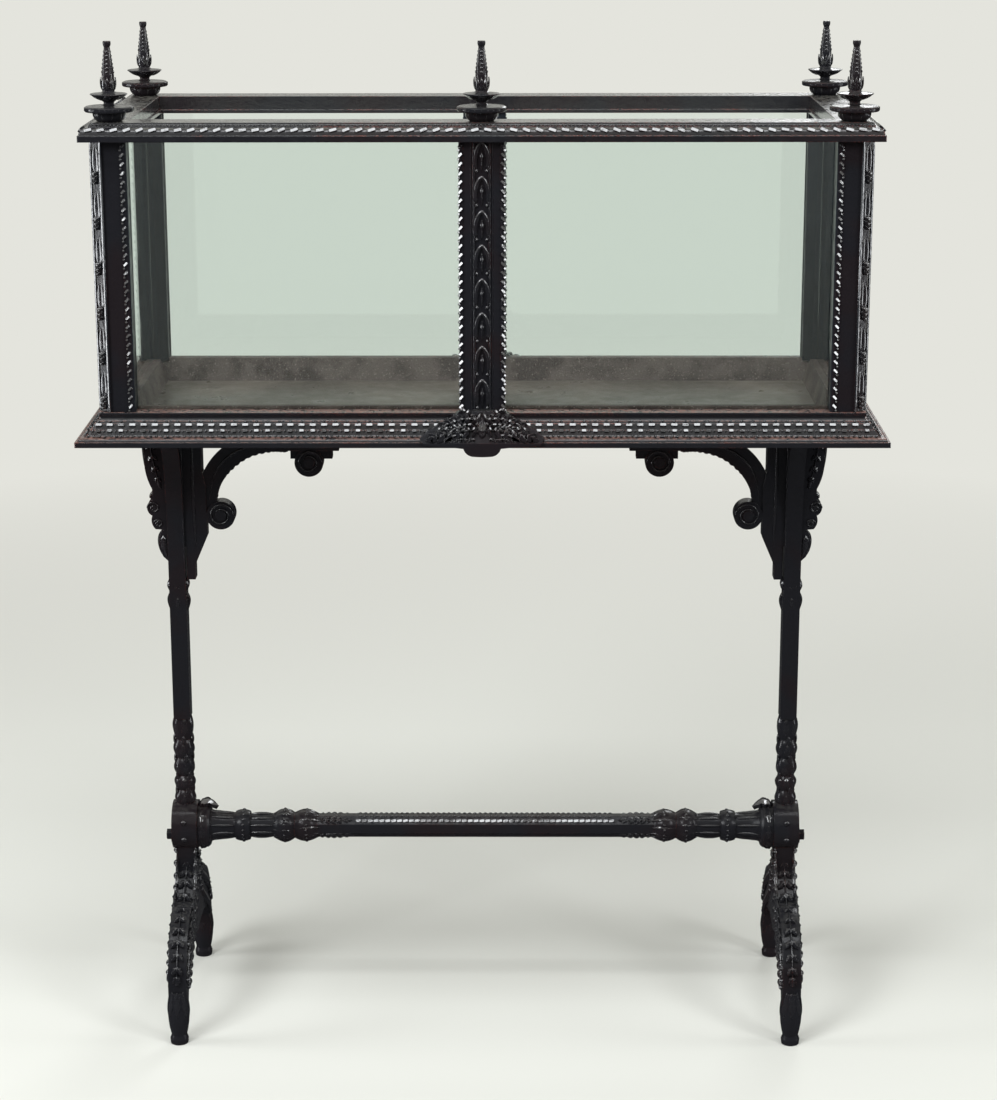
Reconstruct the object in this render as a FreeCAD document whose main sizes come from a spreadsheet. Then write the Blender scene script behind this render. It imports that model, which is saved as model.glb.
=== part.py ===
import FreeCAD, Part
import math
import os
from collections import namedtuple

import Sketcher

# Glazed fern case on a cast iron stand, in millimetres.
# X is the width, Y the depth and Z is up. The origin lies on the floor under the middle.

# Driving sizes
SIZES = {
    "fit_gap": 0.3,
    "overrun": 5.0,
    # Tray
    "tray_width": 914.0,
    "tray_depth": 391.0,
    "tray_base_height": 754.0,
    "tray_height": 35.0,
    "tray_band_height": 6.0,
    "tray_lip_height": 2.5,
    "tray_lip_reveal": 2.5,
    "tray_wall": 5.5,
    "tray_groove_depth": 4.0,
    "bed_thickness": 11.0,
    "bed_lap": 17.0,
    # Bedding cement
    "seal_foot": 11.0,
    "seal_shoulder": 2.5,
    "seal_rise": 3.0,
    "seal_lap": 2.0,
    # Posts
    "post_inset": 27.5,
    "post_side": 38.5,
    "post_height": 304.0,
    "post_panel_leg": 8.5,
    "post_fillet": 2.5,
    "post_sink": 1.5,
    "post_bead": 7.0,
    "post_inner_cut": 11.0,
    "post_groove_depth": 6.0,
    "centre_post_width": 51.2,
    "centre_panel_width": 15.0,
    "centre_bead": 5.0,
    # Glass
    "glass_thickness": 4.0,
    # Top rail
    "rail_height": 20.0,
    "rail_overhang": 12.8,
    "rail_crown_inset": 1.5,
    "rail_band_height": 7.0,
    "rail_groove_depth": 5.0,
    "rail_strip_height": 4.0,
    "rail_strip_reveal": 2.0,
    # Finials
    "finial_height": 87.0,
    "finial_radius": 27.5,
    "spigot_radius": 4.0,
    "spigot_length": 32.0,
    "stud_rise": 10.0,
    # Cartouche
    "cartouche_half_width": 70.0,
    "cartouche_thickness": 4.0,
    "cartouche_rise": 3.5,
    "pendant_half_width": 21.0,
    "pendant_drop": 9.5,
    "pendant_depth": 16.5,
    # End frames
    "frame_inset": 86.5,
    "frame_thickness": 20.0,
    "column_depth": 26.0,
    "arm_reach": 125.0,
    "arm_tip_height": 10.0,
    "arm_tip_length": 32.0,
    "arm_drop": 150.0,
    "knot_base_height": 258.0,
    "knot_top_height": 377.0,
    "knot_neck_radius": 9.4,
    "knot_radius": 12.5,
    "knob_base_height": 507.0,
    "knob_top_height": 551.0,
    "hub_height": 232.0,
    "hub_radius": 30.0,
    "hub_thickness": 31.0,
    "hub_boss_radius": 10.5,
    "hub_boss_reach": 18.5,
    "leg_thickness": 22.0,
    "leg_spread": 132.6,
    "leg_rise": 220.0,
    "arch_height": 92.0,
    "knee_thickness": 25.0,
    "foot_height": 66.0,
    "foot_radius": 13.0,
    "console_depth": 20.0,
    "console_reach": 25.0,
    "console_height": 182.0,
    # Scroll brackets
    "bracket_height": 205.0,
    "bracket_reach": 187.5,
    "bracket_width": 16.0,
    "bracket_leg_width": 20.0,
    "bracket_leg_depth": 27.5,
    "bracket_neck_depth": 23.5,
    "bracket_seat_depth": 16.0,
    "bracket_sink_radius": 6.5,
    "bracket_gap": 2.2,
    "bracket_toe_depth": 12.0,
    "strap_thickness": 12.0,
    "strap_width": 26.0,
    "block_length": 66.0,
    "block_height": 46.0,
    "block_step": 8.0,
    "block_step_height": 10.0,
    "volute_radius": 17.2,
    "volute_eye_radius": 6.5,
    "volute_eye_rise": 2.0,
    "lower_volute_drop": 125.5,
    "upper_volute_drop": 60.5,
    "upper_volute_place": 151.5,
    "arm_outer_drop": 28.0,
    "arm_root_drop": 75.0,
    "arm_inner_length": 106.5,
    "arm_inner_drop": 47.5,
    # Stretcher
    "stretcher_height": 230.0,
    "stretcher_flats": 27.0,
    "collar_length": 149.0,
    "collar_radius": 20.5,
    "flange_radius": 27.0,
    "collar_neck_radius": 14.5,
    # Fasteners
    "bolt_radius": 4.0,
    "bolt_head_flats": 12.0,
    "bolt_head_height": 6.0,
    "bolt_drop": 12.0,
    "bolt_embed": 22.0,
    "foot_bolt_embed": 18.0,
    "screw_radius": 3.0,
    "screw_head_flats": 10.0,
    "screw_head_height": 4.0,
    "screw_embed": 8.0,
    "frame_screw_embed": 12.0,
    "bracket_bolt_top_drop": 20.0,
    "strap_screw_place": 75.0,
    "strap_screw_pitch": 30.0,
}

# Corner of a hexagon and of an octagon, as shares of the width across flats
HEXAGON_CORNER_SHARE = 0.57735
OCTAGON_FLAT_SHARE = 0.20711


class Size:
    """A length: its value in millimetres and the formula that gives it."""

    def __init__(self, value, text):
        self.value = value
        self.text = text

    def __add__(self, other):
        return Size(self.value + other.value, f"({self.text} + {other.text})")

    def __sub__(self, other):
        return Size(self.value - other.value, f"({self.text} - {other.text})")

    def __mul__(self, share):
        return Size(self.value * share, f"({self.text} * {share})")

    def __neg__(self):
        return Size(-self.value, f"(-1 * {self.text})")

    def half(self):
        return Size(self.value / 2, f"({self.text} / 2)")


def size(name):
    return Size(SIZES[name], "Sizes." + name)


ZERO = Size(0.0, "0")
GAP = size("fit_gap")
OVERRUN = size("overrun")

# Places that several pieces share. A place "out" is measured from the middle of the depth;
# on the two ends the same place lies END_SHIFT further out, along the width.
HALF_DEPTH = size("tray_depth").half()
END_SHIFT = size("tray_width").half() - HALF_DEPTH
TRAY_BASE = size("tray_base_height")
TRAY_TOP = TRAY_BASE + size("tray_height")
BED_TOP = TRAY_BASE + size("bed_thickness")
RAIL_BASE = TRAY_TOP + size("post_height")
RAIL_TOP = RAIL_BASE + size("rail_height")
POST_HALF = size("post_side").half()
POST_FACE = HALF_DEPTH - size("post_inset")
POST_LINE = POST_FACE - POST_HALF
POST_INNER = POST_LINE - POST_HALF
GROOVE_HALF = size("glass_thickness").half() + GAP
GROOVE_OUTER = POST_LINE + GROOVE_HALF
GROOVE_INNER = POST_LINE - GROOVE_HALF
TRAY_INNER = GROOVE_INNER - size("tray_wall")
TRAY_LIP = POST_FACE + size("tray_lip_reveal")
SEAL_TOP = TRAY_TOP + size("seal_rise")
BED_EDGE = TRAY_INNER + size("bed_lap")
SPIGOT_BORE = size("spigot_radius") + GAP
BOLT_BORE = size("bolt_radius") + GAP
SCREW_BORE = size("screw_radius") + GAP
COLUMN_HALF = size("column_depth").half()
FRAME_PLACE = size("tray_width").half() - size("frame_inset")
COLUMN_FACE = FRAME_PLACE - size("frame_thickness").half()
HUB_FACE = FRAME_PLACE - size("hub_thickness").half()
ARM_BOLT_PLACE = size("arm_reach") - size("arm_tip_length").half()

# The four sides of the case: turn about Z, then how much longer the side is than
# the place "out", and how much further out it lies.
Side = namedtuple("Side", "name turn spread shift")
SIDES = (
    Side("back", 0, END_SHIFT, ZERO),
    Side("left", 90, ZERO, END_SHIFT),
    Side("front", 180, END_SHIFT, ZERO),
    Side("right", 270, ZERO, END_SHIFT),
)

doc = FreeCAD.newDocument("FernCase")
nodes = []


def make_sheet():
    sheet = doc.addObject("Spreadsheet::Sheet", "Sizes")
    for row, (name, value) in enumerate(SIZES.items(), start=1):
        sheet.set(f"A{row}", name)
        sheet.set(f"B{row}", str(value))
        sheet.setAlias(f"B{row}", name)


def bind(thing, path, length):
    thing.setExpression(path, length.text)


def place(thing, x, y, z, rotation=FreeCAD.Rotation()):
    thing.Placement = FreeCAD.Placement(FreeCAD.Vector(x.value, y.value, z.value), rotation)
    for axis, length in zip("xyz", (x, y, z)):
        bind(thing, f"Placement.Base.{axis}", length)


def turn(angle):
    return FreeCAD.Rotation(FreeCAD.Vector(0, 0, 1), angle)


def new_body(label):
    body = doc.addObject("PartDesign::Body", label)
    body.Label = label
    nodes.append(body)
    return body


# Sketches


def new_sketch(body, plane, across=ZERO, lift=ZERO):
    """A sketch on one of the body's origin planes, moved across or lifted off it."""
    sketch = body.newObject("Sketcher::SketchObject", "Sketch")
    origin_plane = next(item for item in body.Origin.OriginFeatures if item.Role == plane + "_Plane")
    sketch.AttachmentSupport = [(origin_plane, "")]
    sketch.MapMode = "FlatFace"
    sketch.AttachmentOffset = FreeCAD.Placement(
        FreeCAD.Vector(across.value, 0, lift.value), FreeCAD.Rotation()
    )
    if across is not ZERO:
        bind(sketch, "AttachmentOffset.Base.x", across)
    if lift is not ZERO:
        bind(sketch, "AttachmentOffset.Base.z", lift)
    return sketch


def hold_point(sketch, geometry, end, point):
    """Tie one point of the sketch to its two distances from the origin."""
    for kind, axis, length in (("DistanceX", -2, point[0]), ("DistanceY", -1, point[1])):
        if length is ZERO:
            sketch.addConstraint(Sketcher.Constraint("PointOnObject", geometry, end, axis))
        else:
            constraint = Sketcher.Constraint(kind, -1, 1, geometry, end, length.value)
            number = sketch.addConstraint(constraint)
            bind(sketch, f"Constraints[{number}]", length)


def vector(point):
    return FreeCAD.Vector(point[0].value, point[1].value, 0)


def same_point(one, other):
    return one[0].text == other[0].text and one[1].text == other[1].text


def draw_edge(sketch, start, middle, end):
    """A line, or an arc through a middle point. Gives its number and its two ends in order."""
    if not middle:
        return sketch.addGeometry(Part.LineSegment(vector(start), vector(end))), 1, 2
    first, through, last = vector(start), vector(middle), vector(end)
    centre = Part.Arc(first, through, last).toShape().Curve.Center
    forward = (through - first).cross(last - through).z > 0
    if not forward:
        first, last = last, first
    begin = math.atan2(first.y - centre.y, first.x - centre.x)
    finish = math.atan2(last.y - centre.y, last.x - centre.x)
    if finish < begin:
        finish += 2 * math.pi
    circle = Part.Circle(centre, FreeCAD.Vector(0, 0, 1), centre.distanceToPoint(first))
    edge = sketch.addGeometry(Part.ArcOfCircle(circle, begin, finish))
    point = sketch.addGeometry(Part.Point(through), True)
    hold_point(sketch, point, 1, middle)
    sketch.addConstraint(Sketcher.Constraint("PointOnObject", point, 1, edge))
    return (edge, 1, 2) if forward else (edge, 2, 1)


def draw_outline(sketch, outline):
    """A closed outline. Each item is a point, or the middle and end point of an arc."""
    items = list(outline)
    if not same_point(items[-1][-2:], items[0]):
        items.append(items[0])
    edges = []
    for before, item in zip(items, items[1:]):
        edges.append(draw_edge(sketch, before[-2:], item[:-2], item[-2:]))
    for (edge, first, _), item in zip(edges, items):
        hold_point(sketch, edge, first, item[-2:])
    for (edge, _, last), (following, first, _) in zip(edges, edges[1:] + edges[:1]):
        sketch.addConstraint(Sketcher.Constraint("Coincident", edge, last, following, first))


def draw_circle(sketch, x, y, radius):
    circle = Part.Circle(FreeCAD.Vector(x.value, y.value, 0), FreeCAD.Vector(0, 0, 1), radius.value)
    edge = sketch.addGeometry(circle)
    hold_point(sketch, edge, 3, (x, y))
    number = sketch.addConstraint(Sketcher.Constraint("Radius", edge, radius.value))
    bind(sketch, f"Constraints[{number}]", radius)


def rectangle(left, low, right, high):
    return [(left, low), (right, low), (right, high), (left, high)]


def flip(points):
    """The same places on the other side of the upright axis."""
    return tuple(
        length if number % 2 or length is ZERO else -length for number, length in enumerate(points)
    )


def part_way(start, run, share):
    """The place that lies a share of the run past the start."""
    return start + run * share if share else start


def share_items(shares, start, run, base, rise):
    """Items of an outline from rows of shares: across from the start and up from the base."""
    items = []
    for row in shares:
        lengths = []
        for across, up in zip(row[0::2], row[1::2]):
            lengths += [part_way(start, run, across), part_way(base, rise, up)]
        items.append(tuple(lengths))
    return items


def both_sides(half):
    """Close the right half of an outline with its mirror image."""
    ends = [item[-2:] for item in half]
    outline = list(half)
    if half[-1][-2] is not ZERO:
        outline.append(flip(ends[-1]))
    for item, target in zip(reversed(half[1:]), reversed(ends[:-1])):
        outline.append(flip(item[:-2]) + flip(target))
    return outline


# Features


def pad(body, sketch, length, both=False, back=False):
    feature = body.newObject("PartDesign::Pad", "Pad")
    feature.Profile = sketch
    bind(feature, "Length", length)
    feature.SideType = "Symmetric" if both else "One side"
    feature.Reversed = back


def pocket(body, sketch, length=None, both=False, back=False):
    feature = body.newObject("PartDesign::Pocket", "Pocket")
    feature.Profile = sketch
    if length is None:
        feature.Type = "ThroughAll"
    else:
        bind(feature, "Length", length)
    feature.SideType = "Symmetric" if both else "One side"
    feature.Reversed = back


def revolve(body, sketch, axis):
    feature = body.newObject("PartDesign::Revolution", "Revolution")
    feature.Profile = sketch
    feature.ReferenceAxis = (sketch, [axis])
    return feature


def pad_outline(body, plane, outline, length, both=True):
    sketch = new_sketch(body, plane)
    draw_outline(sketch, outline)
    pad(body, sketch, length, both=both)


def pocket_outline(body, plane, outline):
    sketch = new_sketch(body, plane)
    draw_outline(sketch, outline)
    pocket(body, sketch, both=True)


def bore(body, plane, points, radius, lift=ZERO, depth=None, back=False):
    """Round holes along the normal of a plane, right through or to a depth from the lift."""
    sketch = new_sketch(body, plane, lift=lift)
    for x, y in points:
        draw_circle(sketch, x, y, radius)
    pocket(body, sketch, depth, both=depth is None, back=back)


def round_piece(body, plane, across, outline):
    """Revolve an outline about the upright axis of a sketch that is moved across."""
    sketch = new_sketch(body, plane, across=across)
    draw_outline(sketch, outline)
    revolve(body, sketch, "V_Axis")


# Mouldings of the case


def side_bar(label, side, section, outer, inner):
    """A straight moulding on one side of the case, mitred at both ends."""
    body = new_body(label)
    body.Placement = FreeCAD.Placement(FreeCAD.Vector(), turn(side.turn))
    moved = [shift_item(item, side.shift) for item in section]
    pad_outline(body, "YZ", moved, (outer + side.spread) * 2)
    sketch = new_sketch(body, "XY")
    far = outer + OVERRUN
    near = inner - OVERRUN
    corner = [
        (far + side.spread, far + side.shift),
        (near + side.spread, near + side.shift),
        (far + side.spread, near + side.shift),
    ]
    draw_outline(sketch, corner)
    draw_outline(sketch, [flip(point) for point in corner])
    pocket(body, sketch, both=True)
    return body


def shift_item(item, shift):
    return tuple(length + shift if number % 2 == 0 else length for number, length in enumerate(item))


def post_places(side):
    """Where the posts stand along one side: its two corners, and the middle of a long side."""
    corner = POST_LINE + side.spread
    out = POST_LINE + side.shift
    places = [(corner, out), (-corner, out)]
    if side.shift is ZERO:
        places.append((ZERO, out))
    return places


# Outline of the tray moulding from its band up to its lip: shares of the run inwards
# and of the rise, with the middle points of the two curves and of the cove.
TRAY_CURVE_SHARES = (
    (0.10, 0.0),
    (0.14, 0.09, 0.28, 0.13),
    (0.42, 0.15, 0.50, 0.22),
    (0.62, 0.42),
    (0.68, 0.42),
    (0.80, 0.66),
    (0.86, 0.66),
    (0.90, 0.74),
    (0.97, 0.74),
    (1.05, 0.87, 1.0, 1.0),
)


def tray_section():
    band_top = TRAY_BASE + size("tray_band_height")
    lip_base = TRAY_TOP - size("tray_lip_height")
    curve = share_items(
        TRAY_CURVE_SHARES, HALF_DEPTH, TRAY_LIP - HALF_DEPTH, band_top, lip_base - band_top
    )
    groove_floor = TRAY_TOP - size("tray_groove_depth")
    inner_lip = TRAY_TOP - size("seal_lap")
    return [(HALF_DEPTH, TRAY_BASE), (HALF_DEPTH, band_top)] + curve + [
        (TRAY_LIP, TRAY_TOP),
        (GROOVE_OUTER, TRAY_TOP),
        (GROOVE_OUTER, groove_floor),
        (GROOVE_INNER, groove_floor),
        (GROOVE_INNER, inner_lip),
        (TRAY_INNER, inner_lip),
        (TRAY_INNER, BED_TOP),
        (BED_EDGE, BED_TOP),
        (BED_EDGE, TRAY_BASE),
    ]


def make_tray_rails():
    for side in SIDES:
        body = side_bar("tray_rail_" + side.name, side, tray_section(), HALF_DEPTH, TRAY_INNER)
        bore(body, "XY", post_places(side), BOLT_BORE)


def seal_section():
    glass_face = GROOVE_INNER
    return [
        (TRAY_INNER, BED_TOP),
        (TRAY_INNER - size("seal_foot"), BED_TOP),
        (TRAY_INNER - size("seal_shoulder"), SEAL_TOP),
        (glass_face, SEAL_TOP),
        (glass_face, TRAY_TOP - size("seal_lap")),
        (TRAY_INNER, TRAY_TOP - size("seal_lap")),
    ]


def make_seals():
    """Bedding cement between the glass and the bed, cut back where the posts stand."""
    for side in SIDES:
        foot = TRAY_INNER - size("seal_foot")
        body = side_bar("seal_" + side.name, side, seal_section(), GROOVE_INNER, foot)
        notch = new_sketch(body, "XY", lift=TRAY_TOP - size("seal_lap"))
        low = POST_INNER - GAP + side.shift
        high = POST_FACE + side.shift
        inner = POST_INNER - GAP + side.spread
        outer = POST_FACE + side.spread
        draw_outline(notch, rectangle(inner, low, outer, high))
        draw_outline(notch, rectangle(-outer, low, -inner, high))
        if side.shift is ZERO:
            half = size("centre_post_width").half() + GAP
            draw_outline(notch, rectangle(-half, low, half, high))
        pocket(body, notch, size("seal_lap") + size("seal_rise") + OVERRUN, back=True)


# Outline of the top rail above its band: shares of the run inwards and of the rise
RAIL_CURVE_SHARES = (
    (0.10, 0.0),
    (0.20, 0.36, 0.64, 0.62),
    (0.76, 0.62),
    (0.76, 0.74),
    (0.95, 0.82, 1.0, 1.0),
)


def rail_section():
    outer = POST_FACE + size("rail_overhang")
    crown = POST_FACE - size("rail_crown_inset")
    band_top = RAIL_BASE + size("rail_band_height")
    curve = share_items(RAIL_CURVE_SHARES, outer, crown - outer, band_top, RAIL_TOP - band_top)
    strip_inner = POST_INNER - size("rail_strip_reveal")
    strip_top = RAIL_BASE + size("rail_strip_height")
    groove_roof = RAIL_BASE + size("rail_groove_depth")
    return [(outer, RAIL_BASE), (outer, band_top)] + curve + [
        (POST_INNER, RAIL_TOP),
        (POST_INNER, strip_top),
        (strip_inner, strip_top),
        (strip_inner, RAIL_BASE),
        (GROOVE_INNER, RAIL_BASE),
        (GROOVE_INNER, groove_roof),
        (GROOVE_OUTER, groove_roof),
        (GROOVE_OUTER, RAIL_BASE),
    ]


def make_top_rails():
    for side in SIDES:
        outer = POST_FACE + size("rail_overhang")
        inner = POST_INNER - size("rail_strip_reveal")
        body = side_bar("top_rail_" + side.name, side, rail_section(), outer, inner)
        bore(body, "XY", post_places(side), SPIGOT_BORE)


# Posts


def post_bores(body):
    """Bores for the foot bolt from below and the finial's spigot from above."""
    middle = [(ZERO, ZERO)]
    bore(body, "XY", middle, BOLT_BORE, depth=size("foot_bolt_embed") + GAP, back=True)
    spigot_depth = size("spigot_length") - size("rail_height") + GAP
    bore(body, "XY", middle, SPIGOT_BORE, lift=size("post_height"), depth=spigot_depth)


def corner_post_outline():
    """Plan of a corner post about its middle, its decorated corner towards +X and +Y."""
    edge = POST_HALF
    sunk = edge - size("post_sink")
    panel = edge - size("post_panel_leg")
    fillet = panel - size("post_fillet")
    bead = size("post_bead") - edge
    bead_middle = size("post_bead").half() - edge
    groove = size("post_groove_depth") - edge
    cut = size("post_inner_cut") - edge
    one_side = [
        (panel, edge),
        (fillet, edge),
        (fillet, sunk),
        (bead, sunk),
        (bead_middle, edge, -edge, sunk),
        (-edge, GROOVE_HALF),
        (groove, GROOVE_HALF),
        (groove, -GROOVE_HALF),
        (-edge, -GROOVE_HALF),
        (-edge, cut),
    ]
    # The other side is the same outline with its two directions exchanged.
    other_side = []
    ends = [item[-2:] for item in one_side]
    other_side.append(ends[-1][::-1])
    for item, target in zip(reversed(one_side[1:]), reversed(ends[:-1])):
        other_side.append(item[:-2][::-1] + target[::-1])
    return one_side + other_side


def make_corner_posts():
    for name, angle, x_side, y_side in (
        ("back_right", 0, 1, 1),
        ("back_left", 90, -1, 1),
        ("front_left", 180, -1, -1),
        ("front_right", 270, 1, -1),
    ):
        body = new_body("corner_post_" + name)
        pad_outline(body, "XY", corner_post_outline(), size("post_height"), both=False)
        post_bores(body)
        place(body, (POST_LINE + END_SHIFT) * x_side, POST_LINE * y_side, TRAY_TOP, turn(angle))


def centre_post_outline():
    """Plan of a centre post about its middle, its decorated face towards +Y."""
    half = size("centre_post_width").half()
    edge = POST_HALF
    sunk = edge - size("post_sink")
    panel = size("centre_panel_width").half()
    fillet = panel + size("post_fillet")
    bead = half - size("centre_bead")
    bead_middle = half - size("centre_bead").half()
    groove = half - size("post_groove_depth")
    return both_sides([
        (half, -edge),
        (half, -GROOVE_HALF),
        (groove, -GROOVE_HALF),
        (groove, GROOVE_HALF),
        (half, GROOVE_HALF),
        (half, sunk),
        (bead_middle, edge, bead, sunk),
        (fillet, sunk),
        (fillet, edge),
        (panel, edge),
        (panel, sunk),
    ])


def make_centre_posts():
    for name, angle, y_side in (("back", 0, 1), ("front", 180, -1)):
        body = new_body("centre_post_" + name)
        pad_outline(body, "XY", centre_post_outline(), size("post_height"), both=False)
        post_bores(body)
        place(body, ZERO, POST_LINE * y_side, TRAY_TOP, turn(angle))


# Glass


def make_pane(label, left, near, length, width):
    base = TRAY_TOP - size("tray_groove_depth") + GAP
    top = RAIL_BASE + size("rail_groove_depth") - GAP
    pane = doc.addObject("Part::Box", label)
    pane.Label = label
    bind(pane, "Length", length)
    bind(pane, "Width", width)
    bind(pane, "Height", top - base)
    place(pane, left, near, base)
    nodes.append(pane)


def make_glass():
    thickness = size("glass_thickness")
    reach = POST_INNER + size("post_groove_depth") - GAP
    start = size("centre_post_width").half() - size("post_groove_depth") + GAP
    end = reach + END_SHIFT
    for name, line in (("front", -POST_LINE), ("back", POST_LINE)):
        near = line - thickness.half()
        make_pane(f"glass_{name}_left", -end, near, end - start, thickness)
        make_pane(f"glass_{name}_right", start, near, end - start, thickness)
    for name, line in (("left", -(POST_LINE + END_SHIFT)), ("right", POST_LINE + END_SHIFT)):
        make_pane(f"glass_end_{name}", line - thickness.half(), -reach, thickness, reach * 2)


# Finials

# Turned outline above the rail: shares of the disc's radius and of the finial's height
FINIAL_SHARES = (
    (0.48, 0.0),
    (0.61, 0.04, 0.67, 0.105),
    (0.96, 0.122),
    (1.0, 0.135),
    (1.0, 0.175),
    (0.93, 0.188),
    (0.28, 0.20),
    (0.21, 0.22),
    (0.21, 0.24),
    (0.35, 0.275),
    (0.58, 0.308),
    (0.75, 0.336),
    (0.73, 0.346),
    (0.31, 0.362),
    (0.245, 0.375),
    (0.245, 0.58),
    (0.12, 0.925),
    (0.145, 0.945),
    (0.16, 0.972, 0.15, 1.0),
)


def finial_outline():
    radius = size("finial_radius")
    height = size("finial_height")
    spigot = size("spigot_radius")
    foot = -size("spigot_length")
    turned = share_items(FINIAL_SHARES, ZERO, radius, ZERO, height)
    return [(ZERO, foot), (spigot, foot), (spigot, ZERO)] + turned + [(ZERO, height)]


def make_finials():
    corner = POST_LINE + END_SHIFT
    for name, x, y in (
        ("back_right", corner, POST_LINE),
        ("back_left", -corner, POST_LINE),
        ("front_left", -corner, -POST_LINE),
        ("front_right", corner, -POST_LINE),
        ("front_middle", ZERO, -POST_LINE),
    ):
        body = new_body("finial_" + name)
        round_piece(body, "XZ", ZERO, finial_outline())
        place(body, x, y, RAIL_TOP)


def make_stud():
    """The bare threaded stud over the back centre post, where a sixth finial is missing."""
    stud = doc.addObject("Part::Cylinder", "finial_stud_back")
    stud.Label = "finial_stud_back"
    bind(stud, "Radius", size("spigot_radius"))
    bind(stud, "Height", size("spigot_length") + size("stud_rise"))
    place(stud, ZERO, POST_LINE, RAIL_TOP - size("spigot_length"))
    nodes.append(stud)


# Cartouches

# Right half of the leaf mound: shares of its half width and of its height above the tray's base
MOUND_SHARES = ((0.37, 0.98), (0.60, 0.72), (0.86, 0.50), (1.0, 0.28), (0.92, 0.08), (0.45, 0.03))

# The pendant below it: shares of its half width and of its drop
PENDANT_SHARES = ((1.0, 0.0), (0.84, 0.60, 0.44, 0.96), (0.22, 0.99, 0.0, 1.0))


def cartouche_outline():
    top = TRAY_TOP + size("cartouche_rise")
    rise = top - TRAY_BASE
    half = size("cartouche_half_width")
    mound = share_items(MOUND_SHARES, ZERO, half, TRAY_BASE, rise)
    pendant = share_items(
        PENDANT_SHARES, ZERO, size("pendant_half_width"), TRAY_BASE, -size("pendant_drop")
    )
    return both_sides([(ZERO, top)] + mound + pendant)


def make_cartouches():
    """A leaf mound that leans on the tray moulding, with a pendant boss below its edge."""
    band_top = TRAY_BASE + size("tray_band_height")
    back = HALF_DEPTH + GAP
    front = back + size("cartouche_thickness")
    lean_back = TRAY_LIP + GAP
    lean_front = lean_back + size("cartouche_thickness")
    roof = TRAY_TOP + size("cartouche_rise") + OVERRUN
    floor = TRAY_BASE - size("pendant_drop") - OVERRUN
    inside = -OVERRUN
    outside = front + OVERRUN
    ledge = TRAY_TOP + GAP
    behind = [
        (inside, floor),
        (front - size("pendant_depth"), floor),
        (front - size("pendant_depth"), TRAY_BASE - GAP),
        (back, TRAY_BASE - GAP),
        (back, band_top + GAP),
        (lean_back, ledge),
        (POST_FACE + GAP, ledge),
        (POST_FACE + GAP, roof),
        (inside, roof),
    ]
    ahead = [(front, band_top), (lean_front, roof), (outside, roof), (outside, band_top)]
    for name, angle in (("back", 0), ("front", 180)):
        body = new_body("cartouche_" + name)
        body.Placement = FreeCAD.Placement(FreeCAD.Vector(), turn(angle))
        sketch = new_sketch(body, "XZ")
        draw_outline(sketch, cartouche_outline())
        pad(body, sketch, front, back=True)
        pocket_outline(body, "YZ", behind)
        pocket_outline(body, "YZ", ahead)


# Bed plate


def make_bed_plate():
    body = new_body("bed_plate")
    edge = BED_EDGE - GAP
    sketch = new_sketch(body, "XY", lift=TRAY_BASE)
    draw_outline(sketch, rectangle(-(edge + END_SHIFT), -edge, edge + END_SHIFT, edge))
    pad(body, sketch, size("bed_thickness"))
    corner = POST_LINE + END_SHIFT
    posts = [(x, y) for x in (-corner, ZERO, corner) for y in (-POST_LINE, POST_LINE)]
    bore(body, "XY", posts, BOLT_BORE)
    screws = [(x, y) for x in (-FRAME_PLACE, FRAME_PLACE)
              for y in (-ARM_BOLT_PLACE, ARM_BOLT_PLACE)]
    screws += [(x, ZERO) for x in strap_screw_places()]
    bore(body, "XY", screws, SCREW_BORE, lift=TRAY_BASE, depth=size("screw_embed") + GAP, back=True)


def strap_screw_places():
    near = COLUMN_FACE - size("strap_screw_place")
    far = near - size("strap_screw_pitch")
    return [-near, -far, far, near]


# End frames

# Underside of an arm: shares of its reach past the column and of its drop
ARM_CURVE_SHARES = ((0.33, 0.28, 0.09, 0.62), (0.02, 0.80, 0.0, 1.0))


def head_outline():
    """Column and arms, seen along the width."""
    reach = size("arm_reach")
    tip_base = TRAY_BASE - size("arm_tip_height")
    root = reach - size("arm_tip_length")
    curve = share_items(
        ARM_CURVE_SHARES, COLUMN_HALF, root - COLUMN_HALF, TRAY_BASE, -size("arm_drop")
    )
    column_base = size("knot_top_height") - OVERRUN
    return both_sides([(reach, TRAY_BASE), (reach, tip_base), (root, tip_base)]
                      + curve + [(COLUMN_HALF, column_base)])


# Swellings of the turned lengths: shares of the height where each is widest and where it ends
KNOT_SHARES = ((0.08, 0.17), (0.26, 0.33), (0.41, 0.52), (0.62, 0.72), (0.87, 1.0))
KNOB_SHARES = ((0.3, 0.55), (0.78, 1.0))


def knot_outline(base, top, neck, swell, shares):
    height = top - base
    outline = [(ZERO, base), (neck, base)]
    for middle, end in shares:
        outline.append((swell, base + height * middle, neck, base + height * end))
    outline.append((ZERO, base + height * shares[-1][-1]))
    return outline


# Right half of the legs: shares of the spread to the foot's middle and of the rise
LEG_OUTER_SHARES = (
    (0.0, 1.0),
    (0.12, 1.0),
    (0.12, 0.88),
    (0.18, 0.73, 0.40, 0.665),
    (0.85, 0.58, 1.05, 0.33),
)
LEG_INNER_SHARES = ((0.84, 0.29, 0.64, 0.385),)

# Where the leg ends in its foot: shares of the spread and of the foot's height
SHIN_SHARES = ((1.05, 0.5), (0.93, 0.5))

# Top of the arch between the legs: shares of the spread and of the arch's height
ARCH_SHARES = ((0.36, 1.04, 0.0, 1.0),)


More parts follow.
